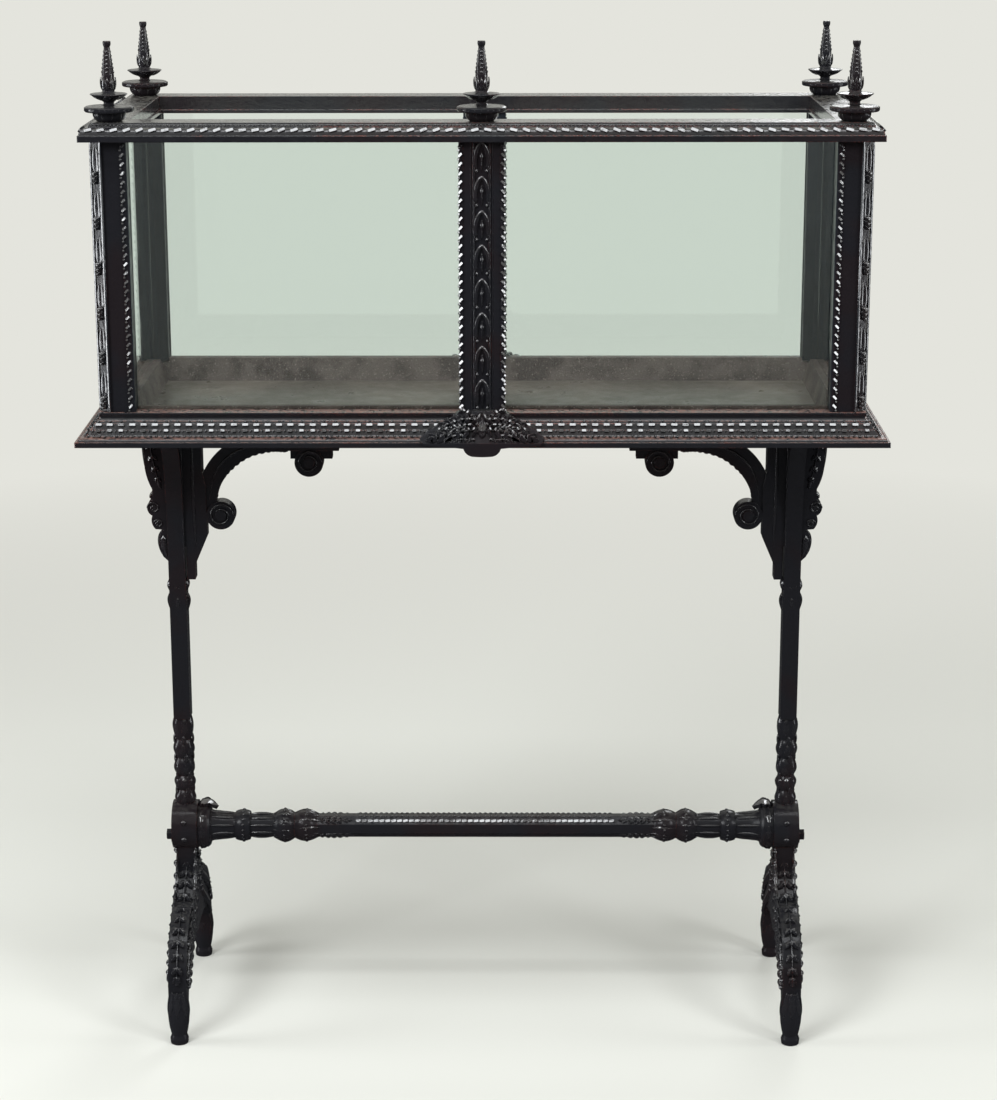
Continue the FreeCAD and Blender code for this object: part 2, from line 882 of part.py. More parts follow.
def leg_outline():
    spread = size("leg_spread")
    rise = size("leg_rise")
    outer = share_items(LEG_OUTER_SHARES, ZERO, spread, ZERO, rise)
    shin = share_items(SHIN_SHARES, ZERO, spread, ZERO, size("foot_height"))
    inner = share_items(LEG_INNER_SHARES, ZERO, spread, ZERO, rise)
    arch = share_items(ARCH_SHARES, ZERO, spread, ZERO, size("arch_height"))
    return both_sides(outer + shin + inner + arch)


# Right half of the knee leaf, as shares of the leg's spread and rise. Its foot is just above
# the arch, as a share of the arch's height.
KNEE_SHARES = ((0.0, 0.84), (0.07, 0.83), (0.17, 0.76), (0.36, 0.65), (0.46, 0.53), (0.24, 0.47))
KNEE_FOOT_SHARE = 1.09


def knee_outline():
    leaf = share_items(KNEE_SHARES, ZERO, size("leg_spread"), ZERO, size("leg_rise"))
    return both_sides(leaf + [(ZERO, size("arch_height") * KNEE_FOOT_SHARE)])


# Foot, as shares of its radius and height
FOOT_SHARES = ((0.82, 0.0), (0.86, 0.09), (0.72, 0.17), (1.0, 0.60, 0.76, 1.0))


def foot_outline():
    height = size("foot_height")
    turned = share_items(FOOT_SHARES, ZERO, size("foot_radius"), ZERO, height)
    return [(ZERO, ZERO)] + turned + [(ZERO, height)]


# Console on the outer side: shares of its reach past the column and of its height downwards
CONSOLE_SHARES = (
    (1.0, 0.345),
    (0.90, 0.43, 0.67, 0.51),
    (0.67, 0.552),
    (0.81, 0.552),
    (0.81, 0.568),
    (0.66, 0.582),
    (0.94, 0.64, 0.70, 0.69),
    (0.74, 0.735, 0.56, 0.782),
    (0.28, 0.785),
    (0.42, 0.875, 0.23, 0.97),
)


def console_outline():
    face = size("frame_thickness").half()
    reach = size("console_reach")
    height = size("console_height")
    front = share_items(CONSOLE_SHARES, face, reach, TRAY_BASE, -height)
    foot = TRAY_BASE - height
    return [(ZERO, TRAY_BASE), (face + reach, TRAY_BASE)] + front + [(face, foot), (ZERO, foot)]


def make_end_frame(label, angle, x):
    """One casting: its outer side is towards +X before it is turned."""
    body = new_body(label)
    pad_outline(body, "YZ", head_outline(), size("frame_thickness"))
    pad_outline(body, "YZ", leg_outline(), size("leg_thickness"))
    pad_outline(body, "YZ", knee_outline(), size("knee_thickness"))
    pad_outline(body, "XZ", console_outline(), size("console_depth"))
    neck = size("knot_neck_radius")
    swell = size("knot_radius")
    knots = knot_outline(size("knot_base_height"), size("knot_top_height"), neck, swell, KNOT_SHARES)
    round_piece(body, "YZ", ZERO, knots)
    knobs = knot_outline(size("knob_base_height"), size("knob_top_height"), neck, swell, KNOB_SHARES)
    round_piece(body, "YZ", ZERO, knobs)
    for foot_place in (-size("leg_spread"), size("leg_spread")):
        round_piece(body, "YZ", foot_place, foot_outline())
    hub = new_sketch(body, "YZ")
    draw_circle(hub, ZERO, size("hub_height"), size("hub_radius"))
    pad(body, hub, size("hub_thickness"), both=True)
    boss = new_sketch(body, "YZ")
    bolt_height = size("stretcher_height") - size("bolt_drop")
    draw_circle(boss, ZERO, bolt_height, size("hub_boss_radius"))
    pad(body, boss, size("hub_boss_reach"))
    bore(body, "YZ", [(ZERO, bolt_height)], BOLT_BORE)
    arms = [(ZERO, -ARM_BOLT_PLACE), (ZERO, ARM_BOLT_PLACE)]
    bore(body, "XY", arms, SCREW_BORE, lift=TRAY_BASE, depth=size("arm_tip_height") + OVERRUN)
    inner_bores = [(ZERO, TRAY_BASE - drop) for drop in bracket_bolt_drops()]
    bore(body, "YZ", inner_bores, SCREW_BORE, lift=-size("frame_thickness").half(),
         depth=size("frame_screw_embed") + GAP, back=True)
    place(body, x, ZERO, ZERO, turn(angle))


def make_end_frames():
    make_end_frame("end_frame_right", 0, FRAME_PLACE)
    make_end_frame("end_frame_left", 180, -FRAME_PLACE)


# Scroll brackets


# The bracket's leg, as shares of its height: the drop of its lower bolt, where its back leaves
# the column, and the bends of its front from the toe up to the neck
LOW_BOLT_SHARE = 0.76
LEG_GAP_SHARE = 0.80
LEG_FRONT_SHARES = (0.915, 0.74, 0.44, 0.35)


def bracket_bolt_drops():
    return [size("bracket_bolt_top_drop"), size("bracket_height") * LOW_BOLT_SHARE]


def bracket_leg_outline():
    height = size("bracket_height")
    gap = size("bracket_gap")
    gap_top = TRAY_BASE - height * LEG_GAP_SHARE
    front = [TRAY_BASE - height * share for share in LEG_FRONT_SHARES]
    base = TRAY_BASE - height
    return [
        (ZERO, TRAY_BASE),
        (ZERO, gap_top),
        (gap, gap_top),
        (gap, base),
        (size("bracket_toe_depth"), base),
        (size("bracket_toe_depth"), front[0]),
        (size("bracket_leg_depth"), front[1]),
        (size("bracket_leg_depth"), front[2]),
        (size("bracket_neck_depth"), front[3]),
        (size("bracket_neck_depth"), TRAY_BASE),
    ]


# How far the volute's middle and the arm's root lie past the leg and the root above the middle,
# as shares of the volute's radius, and where the arm's two edges bend, as shares of their runs
# and drops
VOLUTE_SHARE = 0.99
ROOT_SHARE = 0.64
ROOT_RISE_SHARE = 0.64
BEND_RUN_SHARE = 0.26
OUTER_BEND_SHARE = 0.41
INNER_BEND_SHARE = 0.37


def scroll_arm_outline():
    """The curved arm from the lower volute up to the block."""
    neck = size("bracket_neck_depth")
    root_in = size("bracket_leg_depth") + size("volute_radius") * ROOT_SHARE
    length = size("arm_inner_length")
    outer_end = TRAY_BASE - size("arm_outer_drop")
    inner_end = TRAY_BASE - size("arm_inner_drop")
    root_out = TRAY_BASE - size("arm_root_drop")
    middle = TRAY_BASE - size("lower_volute_drop")
    root_low = middle + size("volute_radius") * ROOT_RISE_SHARE
    block = size("bracket_reach") - size("block_length") + OVERRUN
    outer_bend = part_way(neck, length - neck, BEND_RUN_SHARE)
    inner_bend = part_way(root_in, length - root_in, BEND_RUN_SHARE)
    outer_rise = part_way(outer_end, root_out - outer_end, OUTER_BEND_SHARE)
    inner_rise = part_way(inner_end, root_low - inner_end, INNER_BEND_SHARE)
    return [
        (neck, root_out),
        (outer_bend, outer_rise, length, outer_end),
        (block, outer_end),
        (block, inner_end),
        (length, inner_end),
        (inner_bend, inner_rise, root_in, root_low),
        (root_in, middle),
        (neck, middle),
    ]


def make_bracket(label, angle, x):
    """One bracket: it reaches along +X from the column's face before it is turned."""
    body = new_body(label)
    pad_outline(body, "XZ", bracket_leg_outline(), size("bracket_leg_width"))
    strap_base = TRAY_BASE - size("strap_thickness")
    reach = size("bracket_reach")
    pad_outline(body, "XZ", rectangle(ZERO, strap_base, reach, TRAY_BASE), size("strap_width"))
    block_start = reach - size("block_length")
    block_base = TRAY_BASE - size("block_height")
    block = rectangle(block_start, block_base, reach, TRAY_BASE)
    pad_outline(body, "XZ", block, size("bracket_leg_width"))
    step = size("block_step")
    step_base = block_base - size("block_step_height")
    pad_outline(body, "XZ", rectangle(block_start + step, step_base, reach - step, block_base),
                size("bracket_width"))
    pad_outline(body, "XZ", scroll_arm_outline(), size("bracket_width"))
    lower_place = size("bracket_leg_depth") + size("volute_radius") * VOLUTE_SHARE
    lower = (lower_place, TRAY_BASE - size("lower_volute_drop"))
    upper = (size("upper_volute_place"), TRAY_BASE - size("upper_volute_drop"))
    for centre in (lower, upper):
        volute = new_sketch(body, "XZ")
        draw_circle(volute, *centre, size("volute_radius"))
        pad(body, volute, size("bracket_leg_width"), both=True)
        eye = new_sketch(body, "XZ")
        draw_circle(eye, *centre, size("volute_eye_radius"))
        pad(body, eye, size("bracket_leg_width") + size("volute_eye_rise") * 2, both=True)
    bolts = [(ZERO, TRAY_BASE - drop) for drop in bracket_bolt_drops()]
    bore(body, "YZ", bolts, SCREW_BORE, depth=size("bracket_leg_depth") + GAP, back=True)
    seat = size("bracket_seat_depth")
    bore(body, "YZ", bolts[1:], size("bracket_sink_radius"), lift=seat,
         depth=size("bracket_leg_depth") - seat + GAP, back=True)
    near = size("strap_screw_place")
    screws = [(near, ZERO), (near + size("strap_screw_pitch"), ZERO)]
    bore(body, "XY", screws, SCREW_BORE, lift=TRAY_BASE, depth=size("strap_thickness") + GAP)
    place(body, x, ZERO, ZERO, turn(angle))


def make_brackets():
    make_bracket("scroll_bracket_left", 0, -COLUMN_FACE)
    make_bracket("scroll_bracket_right", 180, COLUMN_FACE)


# Stretcher

# One end of the stretcher from the bar out to the flange: shares of the length between them,
# then which radius applies and its share
STRETCHER_SHARES = (
    ((0.0, "collar_neck_radius", 0.80),),
    ((0.10, "collar_radius", 0.96), (0.20, "collar_radius", 0.76)),
    ((0.28, "collar_radius", 1.0), (0.37, "collar_neck_radius", 1.0)),
    ((0.57, "collar_neck_radius", 1.0),),
    ((0.57, "collar_radius", 0.86),),
    ((0.63, "collar_radius", 0.96), (0.69, "collar_radius", 0.86)),
    ((0.69, "collar_neck_radius", 1.10),),
    ((0.83, "collar_neck_radius", 1.18), (0.89, "collar_neck_radius", 1.36)),
    ((0.90, "flange_radius", 0.90),),
    ((0.92, "flange_radius", 1.0),),
    ((1.0, "flange_radius", 1.0),),
)


def make_stretcher():
    body = new_body("stretcher")
    flat = size("stretcher_flats").half()
    corner = size("stretcher_flats") * OCTAGON_FLAT_SHARE
    octagon = [(flat, corner), (corner, flat), (-corner, flat), (-flat, corner)]
    octagon += [(-flat, -corner), (-corner, -flat), (corner, -flat), (flat, -corner)]
    start = HUB_FACE - size("collar_length")
    pad_outline(body, "YZ", octagon, (start + OVERRUN) * 2)
    length = size("collar_length")
    outline = [(start, ZERO)]
    for row in STRETCHER_SHARES:
        lengths = []
        for along, radius, share in row:
            lengths += [part_way(start, length, along), size(radius) * share]
        outline.append(tuple(lengths))
    outline.append((start + length * STRETCHER_SHARES[-1][0][0], ZERO))
    sketch = new_sketch(body, "XZ")
    draw_outline(sketch, outline)
    turned = revolve(body, sketch, "H_Axis")
    mirror = body.newObject("PartDesign::Mirrored", "Mirrored")
    mirror.Originals = [turned]
    yz_plane = next(item for item in body.Origin.OriginFeatures if item.Role == "YZ_Plane")
    mirror.MirrorPlane = (yz_plane, [""])
    body.Tip = mirror
    depth = size("bolt_embed") + GAP
    bolt_place = [(ZERO, -size("bolt_drop"))]
    bore(body, "YZ", bolt_place, BOLT_BORE, lift=HUB_FACE, depth=depth)
    bore(body, "YZ", bolt_place, BOLT_BORE, lift=-HUB_FACE, depth=depth, back=True)
    place(body, ZERO, ZERO, size("stretcher_height"))


# Fasteners

UP = FreeCAD.Rotation()
TO_LEFT = FreeCAD.Rotation(FreeCAD.Vector(0, 0, 1), FreeCAD.Vector(-1, 0, 0))
TO_RIGHT = FreeCAD.Rotation(FreeCAD.Vector(0, 0, 1), FreeCAD.Vector(1, 0, 0))


def make_bolt(kind, x, y, z, direction, length):
    """A hexagon-headed bolt: its head seats at the place given and its shank points along
    the direction."""
    shank = doc.addObject("Part::Cylinder", "Shank")
    bind(shank, "Radius", size(kind + "_radius"))
    bind(shank, "Height", length)
    head = doc.addObject("Part::Prism", "Head")
    head.Polygon = 6
    bind(head, "Circumradius", size(kind + "_head_flats") * HEXAGON_CORNER_SHARE)
    bind(head, "Height", size(kind + "_head_height"))
    place(head, ZERO, ZERO, -size(kind + "_head_height"))
    bolt = doc.addObject("Part::Fuse", "Bolt")
    bolt.Base = shank
    bolt.Tool = head
    place(bolt, x, y, z, direction)
    return bolt


def make_group(label, bolts):
    group = doc.addObject("Part::Compound", label)
    group.Label = label
    group.Links = bolts
    nodes.append(group)


def make_fasteners():
    corner = POST_LINE + END_SHIFT
    foot_length = TRAY_TOP - TRAY_BASE + size("foot_bolt_embed")
    make_group("foot_bolts", [
        make_bolt("bolt", x, y, TRAY_BASE, UP, foot_length)
        for x in (-corner, ZERO, corner) for y in (-POST_LINE, POST_LINE)
    ])
    tip_base = TRAY_BASE - size("arm_tip_height")
    head_length = size("arm_tip_height") + size("screw_embed")
    make_group("head_bolts", [
        make_bolt("screw", x, y, tip_base, UP, head_length)
        for x in (-FRAME_PLACE, FRAME_PLACE)
        for y in (-ARM_BOLT_PLACE, ARM_BOLT_PLACE)
    ])
    strap_base = TRAY_BASE - size("strap_thickness")
    strap_length = size("strap_thickness") + size("screw_embed")
    make_group("bracket_screws", [
        make_bolt("screw", x, ZERO, strap_base, UP, strap_length) for x in strap_screw_places()
    ])
    bracket_bolts = []
    depths = (size("bracket_neck_depth"), size("bracket_seat_depth"))
    for drop, depth in zip(bracket_bolt_drops(), depths):
        seat = COLUMN_FACE - depth
        length = depth + size("frame_screw_embed")
        bracket_bolts.append(make_bolt("screw", -seat, ZERO, TRAY_BASE - drop, TO_LEFT, length))
        bracket_bolts.append(make_bolt("screw", seat, ZERO, TRAY_BASE - drop, TO_RIGHT, length))
    make_group("bracket_bolts", bracket_bolts)
    seat = FRAME_PLACE + size("hub_boss_reach")
    length = seat - HUB_FACE + size("bolt_embed")
    height = size("stretcher_height") - size("bolt_drop")
    make_group("stretcher_bolts", [
        make_bolt("bolt", seat, ZERO, height, TO_LEFT, length),
        make_bolt("bolt", -seat, ZERO, height, TO_RIGHT, length),
    ])


# Checks and output


def check_document():
    """Stop on any failed object, empty or invalid shape, or cut that removed nothing."""
    for thing in doc.Objects:
        if "Invalid" in thing.State or "Error" in thing.State:
            raise RuntimeError(f"{thing.Name} in {thing.Label} failed: {thing.State}")
        if thing.TypeId == "PartDesign::Pocket":
            if not thing.Shape.Volume < thing.BaseFeature.Shape.Volume:
                raise RuntimeError(f"{thing.Name} cuts nothing")
    for node in nodes:
        if node.Shape.isNull() or not node.Shape.isValid():
            raise RuntimeError(f"{node.Label} has no valid shape")


def main():
    make_sheet()
    make_end_frames()
    make_stretcher()
    make_brackets()
    make_bed_plate()
    make_tray_rails()
    make_seals()
    make_corner_posts()
    make_centre_posts()
    make_glass()
    make_top_rails()
    make_finials()
    make_stud()
    make_cartouches()
    make_fasteners()
    doc.recompute()
    check_document()
    os.makedirs("parts", exist_ok=True)
    for node in nodes:
        node.Shape.exportStep(f"parts/{node.Label}.step")
        print(node.Label, len(node.Shape.Solids), round(node.Shape.Volume))


main()
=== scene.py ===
import math

import bmesh
import bpy
import numpy as np
from bpy.props import FloatProperty, FloatVectorProperty, IntProperty, PointerProperty
from bpy.types import Operator, Panel, PropertyGroup
from mathutils import Matrix, Vector


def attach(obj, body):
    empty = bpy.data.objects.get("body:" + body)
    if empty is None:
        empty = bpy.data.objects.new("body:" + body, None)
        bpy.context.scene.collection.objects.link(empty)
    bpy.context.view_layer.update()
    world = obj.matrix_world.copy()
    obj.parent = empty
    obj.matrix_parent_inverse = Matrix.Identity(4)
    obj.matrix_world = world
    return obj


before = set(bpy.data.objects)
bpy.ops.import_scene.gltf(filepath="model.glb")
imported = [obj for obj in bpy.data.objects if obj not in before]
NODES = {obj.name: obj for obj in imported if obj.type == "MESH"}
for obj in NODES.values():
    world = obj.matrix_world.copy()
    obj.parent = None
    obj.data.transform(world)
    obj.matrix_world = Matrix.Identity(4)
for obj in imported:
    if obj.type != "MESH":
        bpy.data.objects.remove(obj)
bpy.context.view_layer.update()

bl_info = {
    "name": "Wardian Case",
    "version": (1, 0, 0),
    "blender": (4, 5, 0),
    "location": "View3D > Sidebar > Wardian Case",
    "description": "Cast ornament, finishes and studio for a glazed fern case on an iron stand",
    "category": "Object",
}

# Lengths are in millimetres until a mesh is made. X is the width, Y the depth and Z is up.
MM = 0.001


def linear(hex_colour):
    """The linear colour of an sRGB hex value."""
    channels = [int(hex_colour[place:place + 2], 16) / 255 for place in (1, 3, 5)]
    return [c / 12.92 if c <= 0.04045 else ((c + 0.055) / 1.055) ** 2.4 for c in channels]


# Heights and places of the castings, from the floor and from the middle of the case
TRAY_TOP = 789.0
TRAY_EDGE = 199.7
RAIL_BASE = 1093.0
RAIL_TOP = 1113.0
POST_MIDDLE = (TRAY_TOP + RAIL_BASE) / 2
POST_HALF = (RAIL_BASE - TRAY_TOP) / 2
POST_LINE = 148.75
END_SHIFT = 261.5
POST_CORNER = POST_LINE + END_SHIFT
FRAME_PLACE = 370.5
COLUMN_FACE = 360.5
STRETCHER_HEIGHT = 230.0

# The four sides of the case: turn about Z, the extra half length, and how much further out
SIDES = ((0, END_SHIFT, 0), (90, 0, END_SHIFT), (180, END_SHIFT, 0), (270, 0, END_SHIFT))
# The four corner posts: turn about Z, and the signs of X and Y
CORNERS = ((0, 1, 1), (90, -1, 1), (180, -1, -1), (270, 1, -1))

# Ways that a shape can face. The last is for leaves that start straight along X.
FACING_Y = (0, 1, 0)
FACING_X = (1, 0, 0)
NEARLY_X = (1, 0, 0.001)

# Share of a leaf's length at which it is widest, from its root
LEAF_WIDEST = 0.4
# Edges flatter than this, in degrees, are shaded smooth
SMOOTH_EDGE = 55


class CaseSizes(PropertyGroup):
    bead_pitch: FloatProperty(
        name="Bead pitch", description="Spacing of the beads round the tray",
        default=0.0127, min=0.008, max=0.03, unit="LENGTH")
    rail_leaf_pitch: FloatProperty(
        name="Rail leaf pitch", description="Spacing of the slanting leaves round the top rail",
        default=0.0142, min=0.008, max=0.03, unit="LENGTH")
    rope_pitch: FloatProperty(
        name="Rope pitch", description="Spacing of the twists on the posts' rope strips",
        default=0.010, min=0.006, max=0.02, unit="LENGTH")
    husk_pitch: FloatProperty(
        name="Husk pitch", description="Spacing of the husks on the centre posts",
        default=0.038, min=0.02, max=0.08, unit="LENGTH")
    leaf_lobes: IntProperty(
        name="Leaf lobes", description="Lobes along each side of a large leaf",
        default=5, min=2, max=9)


COLOUR = {"subtype": "COLOR", "size": 3, "min": 0, "max": 1}


class CaseFinishes(PropertyGroup):
    enamel: FloatVectorProperty(
        name="Enamel", description="Colour of the black enamel",
        default=linear("#1f1f23"), **COLOUR)
    wear: FloatVectorProperty(
        name="Wear", description="Red-brown undercoat that shows on rubbed edges",
        default=linear("#7a3e34"), **COLOUR)
    dust: FloatVectorProperty(
        name="Dust", description="Grey dust that lies on faces that look up",
        default=linear("#8d8b82"), **COLOUR)
    cement: FloatVectorProperty(
        name="Cement", description="Colour of the bedding cement",
        default=linear("#5f524d"), **COLOUR)
    bed: FloatVectorProperty(
        name="Bed", description="Colour of the painted bed plate",
        default=linear("#796e66"), **COLOUR)
    backdrop: FloatVectorProperty(
        name="Backdrop", description="Colour of the studio floor and background",
        default=linear("#e4e4dd"), **COLOUR)


# Shapes: each is an array of points and a list of faces


def moved(shape, matrix):
    """A shape carried to another place."""
    points, faces = shape
    table = np.array(matrix)
    return points @ table[:3, :3].T + table[:3, 3], faces


def moved_all(shapes, matrix):
    """Several shapes carried together."""
    return [moved(shape, matrix) for shape in shapes]


def standing(x, y, z, turn=0.0):
    """A place, with what stands there turned about the upright axis in degrees."""
    return Matrix.Translation((x, y, z)) @ Matrix.Rotation(math.radians(turn), 4, "Z")


def around(shape, count, start=0.0):
    """Copies of a shape, evenly round the upright axis."""
    return [moved(shape, standing(0, 0, 0, start + 360 / count * place)) for place in range(count)]


def both_ways(shapes):
    """The shapes, and the same again half a turn round the upright axis."""
    return shapes + moved_all(shapes, standing(0, 0, 0, 180))


def leaning(lean, slant=0.0):
    """Tips a shape that faces +Y upwards, after turning it in its own face, in degrees."""
    return (Matrix.Rotation(math.radians(lean), 4, "X")
            @ Matrix.Rotation(math.radians(slant), 4, "Y"))


def loft(rings):
    """One closed skin over rings of points."""
    rings = np.asarray(rings, float)
    count, sides, _ = rings.shape
    first = np.arange(count - 1)[:, None] * sides
    here = np.arange(sides)[None, :]
    after = (here + 1) % sides
    quads = np.stack([first + here, first + after, first + sides + after, first + sides + here], -1)
    faces = quads.reshape(-1, 4).tolist()
    faces.append(list(range(sides)))
    faces.append(list(range((count - 1) * sides, count * sides)))
    return rings.reshape(-1, 3), faces


def bead(length, width, height, rings=6, sides=10):
    """A rounded bead, long in X, as deep in Y as the height and as tall in Z as the width."""
    turns = np.linspace(0, 2 * math.pi, sides, endpoint=False)
    skins = []
    for angle in np.linspace(0.25, math.pi - 0.25, rings):
        radius = math.sin(angle)
        skins.append(np.stack([
            np.full(sides, -math.cos(angle) * length / 2),
            np.cos(turns) * radius * height / 2,
            np.sin(turns) * radius * width / 2,
        ], -1))
    return loft(skins)


def stud(length, width, height):
    """A flat-topped stud that faces +Y, long in X, with its corners cut."""
    across, tall = length / 2, width / 2
    corner = min(across, tall) * 0.35
    outline = [(across, tall - corner), (across - corner, tall), (corner - across, tall),
               (-across, tall - corner), (-across, corner - tall), (corner - across, -tall),
               (across - corner, -tall), (across, corner - tall)]
    return loft([[(x * scale, y * height, z * scale) for x, z in outline]
                 for y, scale in ((-0.5, 1.0), (0.5, 1.0), (1.0, 0.94))])


def smooth_path(points, count):
    """Points along a smooth curve through the points given."""
    points = np.asarray(points, float)
    if len(points) == 2:
        return points[0] + (points[1] - points[0]) * np.linspace(0, 1, count)[:, None]
    padded = np.vstack([2 * points[0] - points[1], points, 2 * points[-1] - points[-2]])
    places = np.linspace(0, len(points) - 1 - 1e-9, count)
    start = places.astype(int)
    share = (places - start)[:, None]
    a, b, c, d = (padded[start + step] for step in range(4))
    return 0.5 * (2 * b + (c - a) * share + (2 * a - 5 * b + 4 * c - d) * share ** 2
                  + (3 * b - a - 3 * c + d) * share ** 3)


def swept(path, out, across, lift):
    """Skin a path. Each row of across and lift gives one ring, sideways and outwards."""
    ahead = np.gradient(path, axis=0)
    ahead /= np.linalg.norm(ahead, axis=1)[:, None]
    side = np.cross(ahead, out)
    side /= np.linalg.norm(side, axis=1)[:, None]
    up = np.cross(side, ahead)
    return loft(path[:, None] + side[:, None] * across[..., None] + up[:, None] * lift[..., None])


def leaf(points, out, width, rise, lobes=5, cut=0.3, vein=0.4, back=1.0):
    """A carved leaf from root to tip: scalloped edges, a midrib and a vein to each lobe."""
    count = lobes * 5 + 7
    path = smooth_path(points, count)
    share = np.linspace(0, 1, count)[:, None]
    power = math.log(0.5) / math.log(LEAF_WIDEST)
    swell = np.sin(math.pi * np.clip(share ** power, 0.04, 0.965)) ** 0.8
    half = width / 2 * swell * (1 - cut * (1 - np.abs(np.sin(math.pi * lobes * share)) ** 0.55))
    over = np.array([-1, -0.8, -0.55, -0.28, 0, 0.28, 0.55, 0.8, 1.0])[None, :]
    furrow = 1 - np.abs(np.sin(math.pi * lobes * (share - 0.1 * np.abs(over)))) ** 0.55
    crown = (np.sqrt(swell) * (1 - 0.75 * over ** 2)
             + 0.35 * np.exp(-(over / 0.15) ** 2) * swell - vein * furrow * np.abs(over))
    under = np.array([0.75, 0.0, -0.75])[None, :]
    across = np.hstack([half * over, half * under])
    lift = np.hstack([rise * crown, np.full((count, 3), -back)])
    return swept(path, np.asarray(out, float), across, lift)


def ridge(points, out, width, height, count=24, taper=0.35):
    """A raised line with a rounded back, fine at both ends."""
    path = smooth_path(points, count)
    share = np.linspace(0, 1, count)[:, None]
    ends = np.clip(np.minimum(share, 1 - share) / taper, 0.06, 1) ** 0.5
    turns = np.linspace(0, math.pi, 7)[None, :]
    across = np.hstack([np.cos(turns) * ends * width / 2, np.zeros((count, 1))])
    lift = np.hstack([np.sin(turns) * ends * height, np.full((count, 1), -height / 2)])
    return swept(path, np.asarray(out, float), across, lift)


def sprig(points, out, width, rise, pairs, lobes=2, splay=42, rib=1.8):
    """A rib with pairs of small carved leaves that fan out along it, from root to tip."""
    out = np.asarray(out, float)
    path = smooth_path(points, pairs + 2)
    ahead = np.gradient(path, axis=0)
    ahead /= np.linalg.norm(ahead, axis=1)[:, None]
    shapes = [ridge(points, out, rib * 1.3, rise * 0.9 + rib * 0.5)]
    for place in range(pairs + 1):
        share = place / (pairs + 1)
        reach = width / 2 * (0.55 + 0.75 * math.sin(math.pi * (0.12 + 0.8 * share)))
        for side in (-1, 1):
            fan = math.radians(side * splay * (1 - 0.35 * share))
            way = np.array(Matrix.Rotation(fan, 3, Vector(out)) @ Vector(ahead[place])) * reach
            start = path[place]
            shapes.append(leaf([start, start + way * 0.5 + out * rise * 0.35, start + way], out,
                               reach * 0.62, rise, lobes=lobes, cut=0.35, vein=0.55))
    tip = path[-1] + ahead[-1] * width * 0.16
    shapes.append(leaf([path[-2], path[-1], tip], out, width * 0.36, rise, lobes=lobes))
    return shapes


def leaf_ring(profile, count, width, rise, start=0.0, **carving):
    """Leaves set round the upright axis, each along rows of radius and height, root first."""
    points = [(radius, 0, height) for radius, height in profile]
    return around(leaf(points, NEARLY_X, width, rise, **carving), count, start)


def spiral(radius, end_radius, turns, count=36):
    """Points of a flat spiral in X and Z about the origin, from its rim inwards."""
    share = np.linspace(0, 1, count)
    angle = share * turns * 2 * math.pi
    reach = radius * (end_radius / radius) ** share
    return np.stack([np.cos(angle) * reach, np.zeros(count), np.sin(angle) * reach], -1)


def evenly(half, pitch):
    """Places on a run of that half length, near the pitch, evenly about its middle."""
    count = max(1, round(2 * half / pitch))
    return [(place + 0.5) * 2 * half / count - half for place in range(count)]


def uneven(place, reach):
    """A small change to each casting of a row, always the same one at a place."""
    return reach * math.sin(place * 12.9898)


def add_piece(name, shapes, kind):
    """One mesh from several shapes, which rides on the case and has that kind of finish."""
    points = []
    faces = []
    total = 0
    for shape_points, shape_faces in shapes:
        points.append(shape_points)
        faces += [[corner + total for corner in face] for face in shape_faces]
        total += len(shape_points)
    mesh = bpy.data.meshes.new(name)
    mesh.from_pydata((np.vstack(points) * MM).tolist(), [], faces)
    work = bmesh.new()
    work.from_mesh(mesh)
    bmesh.ops.recalc_face_normals(work, faces=work.faces)
    work.to_mesh(mesh)
    work.free()
    mesh.shade_smooth()
    mesh.set_sharp_from_angle(angle=math.radians(SMOOTH_EDGE))
    mesh.materials.append(finish(kind))
    piece = bpy.data.objects.new(name, mesh)
    bpy.context.scene.collection.objects.link(piece)
    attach(piece, "root")


# Finishes


def add_node(tree, kind, inputs=None, take=0, **settings):
    """Add a node: settings go on the node itself, inputs are linked or set, and one output
    comes back."""
    node = tree.nodes.new(kind)
    for name, value in settings.items():
        setattr(node, name, value)
    for name, value in (inputs or {}).items():
        if isinstance(value, bpy.types.NodeSocket):
            tree.links.new(value, node.inputs[name])
        else:
            node.inputs[name].default_value = value
    return node.outputs[take] if node.outputs else None


NOISE = "ShaderNodeTexNoise"
RANGE = "ShaderNodeMapRange"
MATH = "ShaderNodeMath"
VECTOR_MATH = "ShaderNodeVectorMath"
MIX = "ShaderNodeMix"
# Place of a colour mix's factor, two colours and result among its sockets
SHARE, UNDER, OVER, MIXED = 0, 6, 7, 2


def opaque(colour):
    return (*colour, 1.0)


def start_finish(name):
    """The empty tree of a new material, and the coordinates of the whole case."""
    material = bpy.data.materials.new(name)
    material.use_nodes = True
    tree = material.node_tree
    tree.nodes.clear()
    return tree, add_node(tree, "ShaderNodeTexCoord", take="Object")


def end_finish(tree, colour, inputs, layers=(), lit=()):
    """Ends a material with its shader: layers of a share and a colour lie over its own colour,
    and where it is lit, a share of it glows instead."""
    colour = opaque(colour)
    for share, over in layers:
        colour = add_node(tree, MIX, {SHARE: share, UNDER: colour, OVER: opaque(over)}, MIXED,
                          data_type="RGBA")
    surface = add_node(tree, "ShaderNodeBsdfPrincipled", {"Base Color": colour, **inputs})
    for share, glow in lit:
        surface = add_node(tree, "ShaderNodeMixShader", {0: share, 1: surface, 2: glow})
    add_node(tree, "ShaderNodeOutputMaterial", {"Surface": surface})


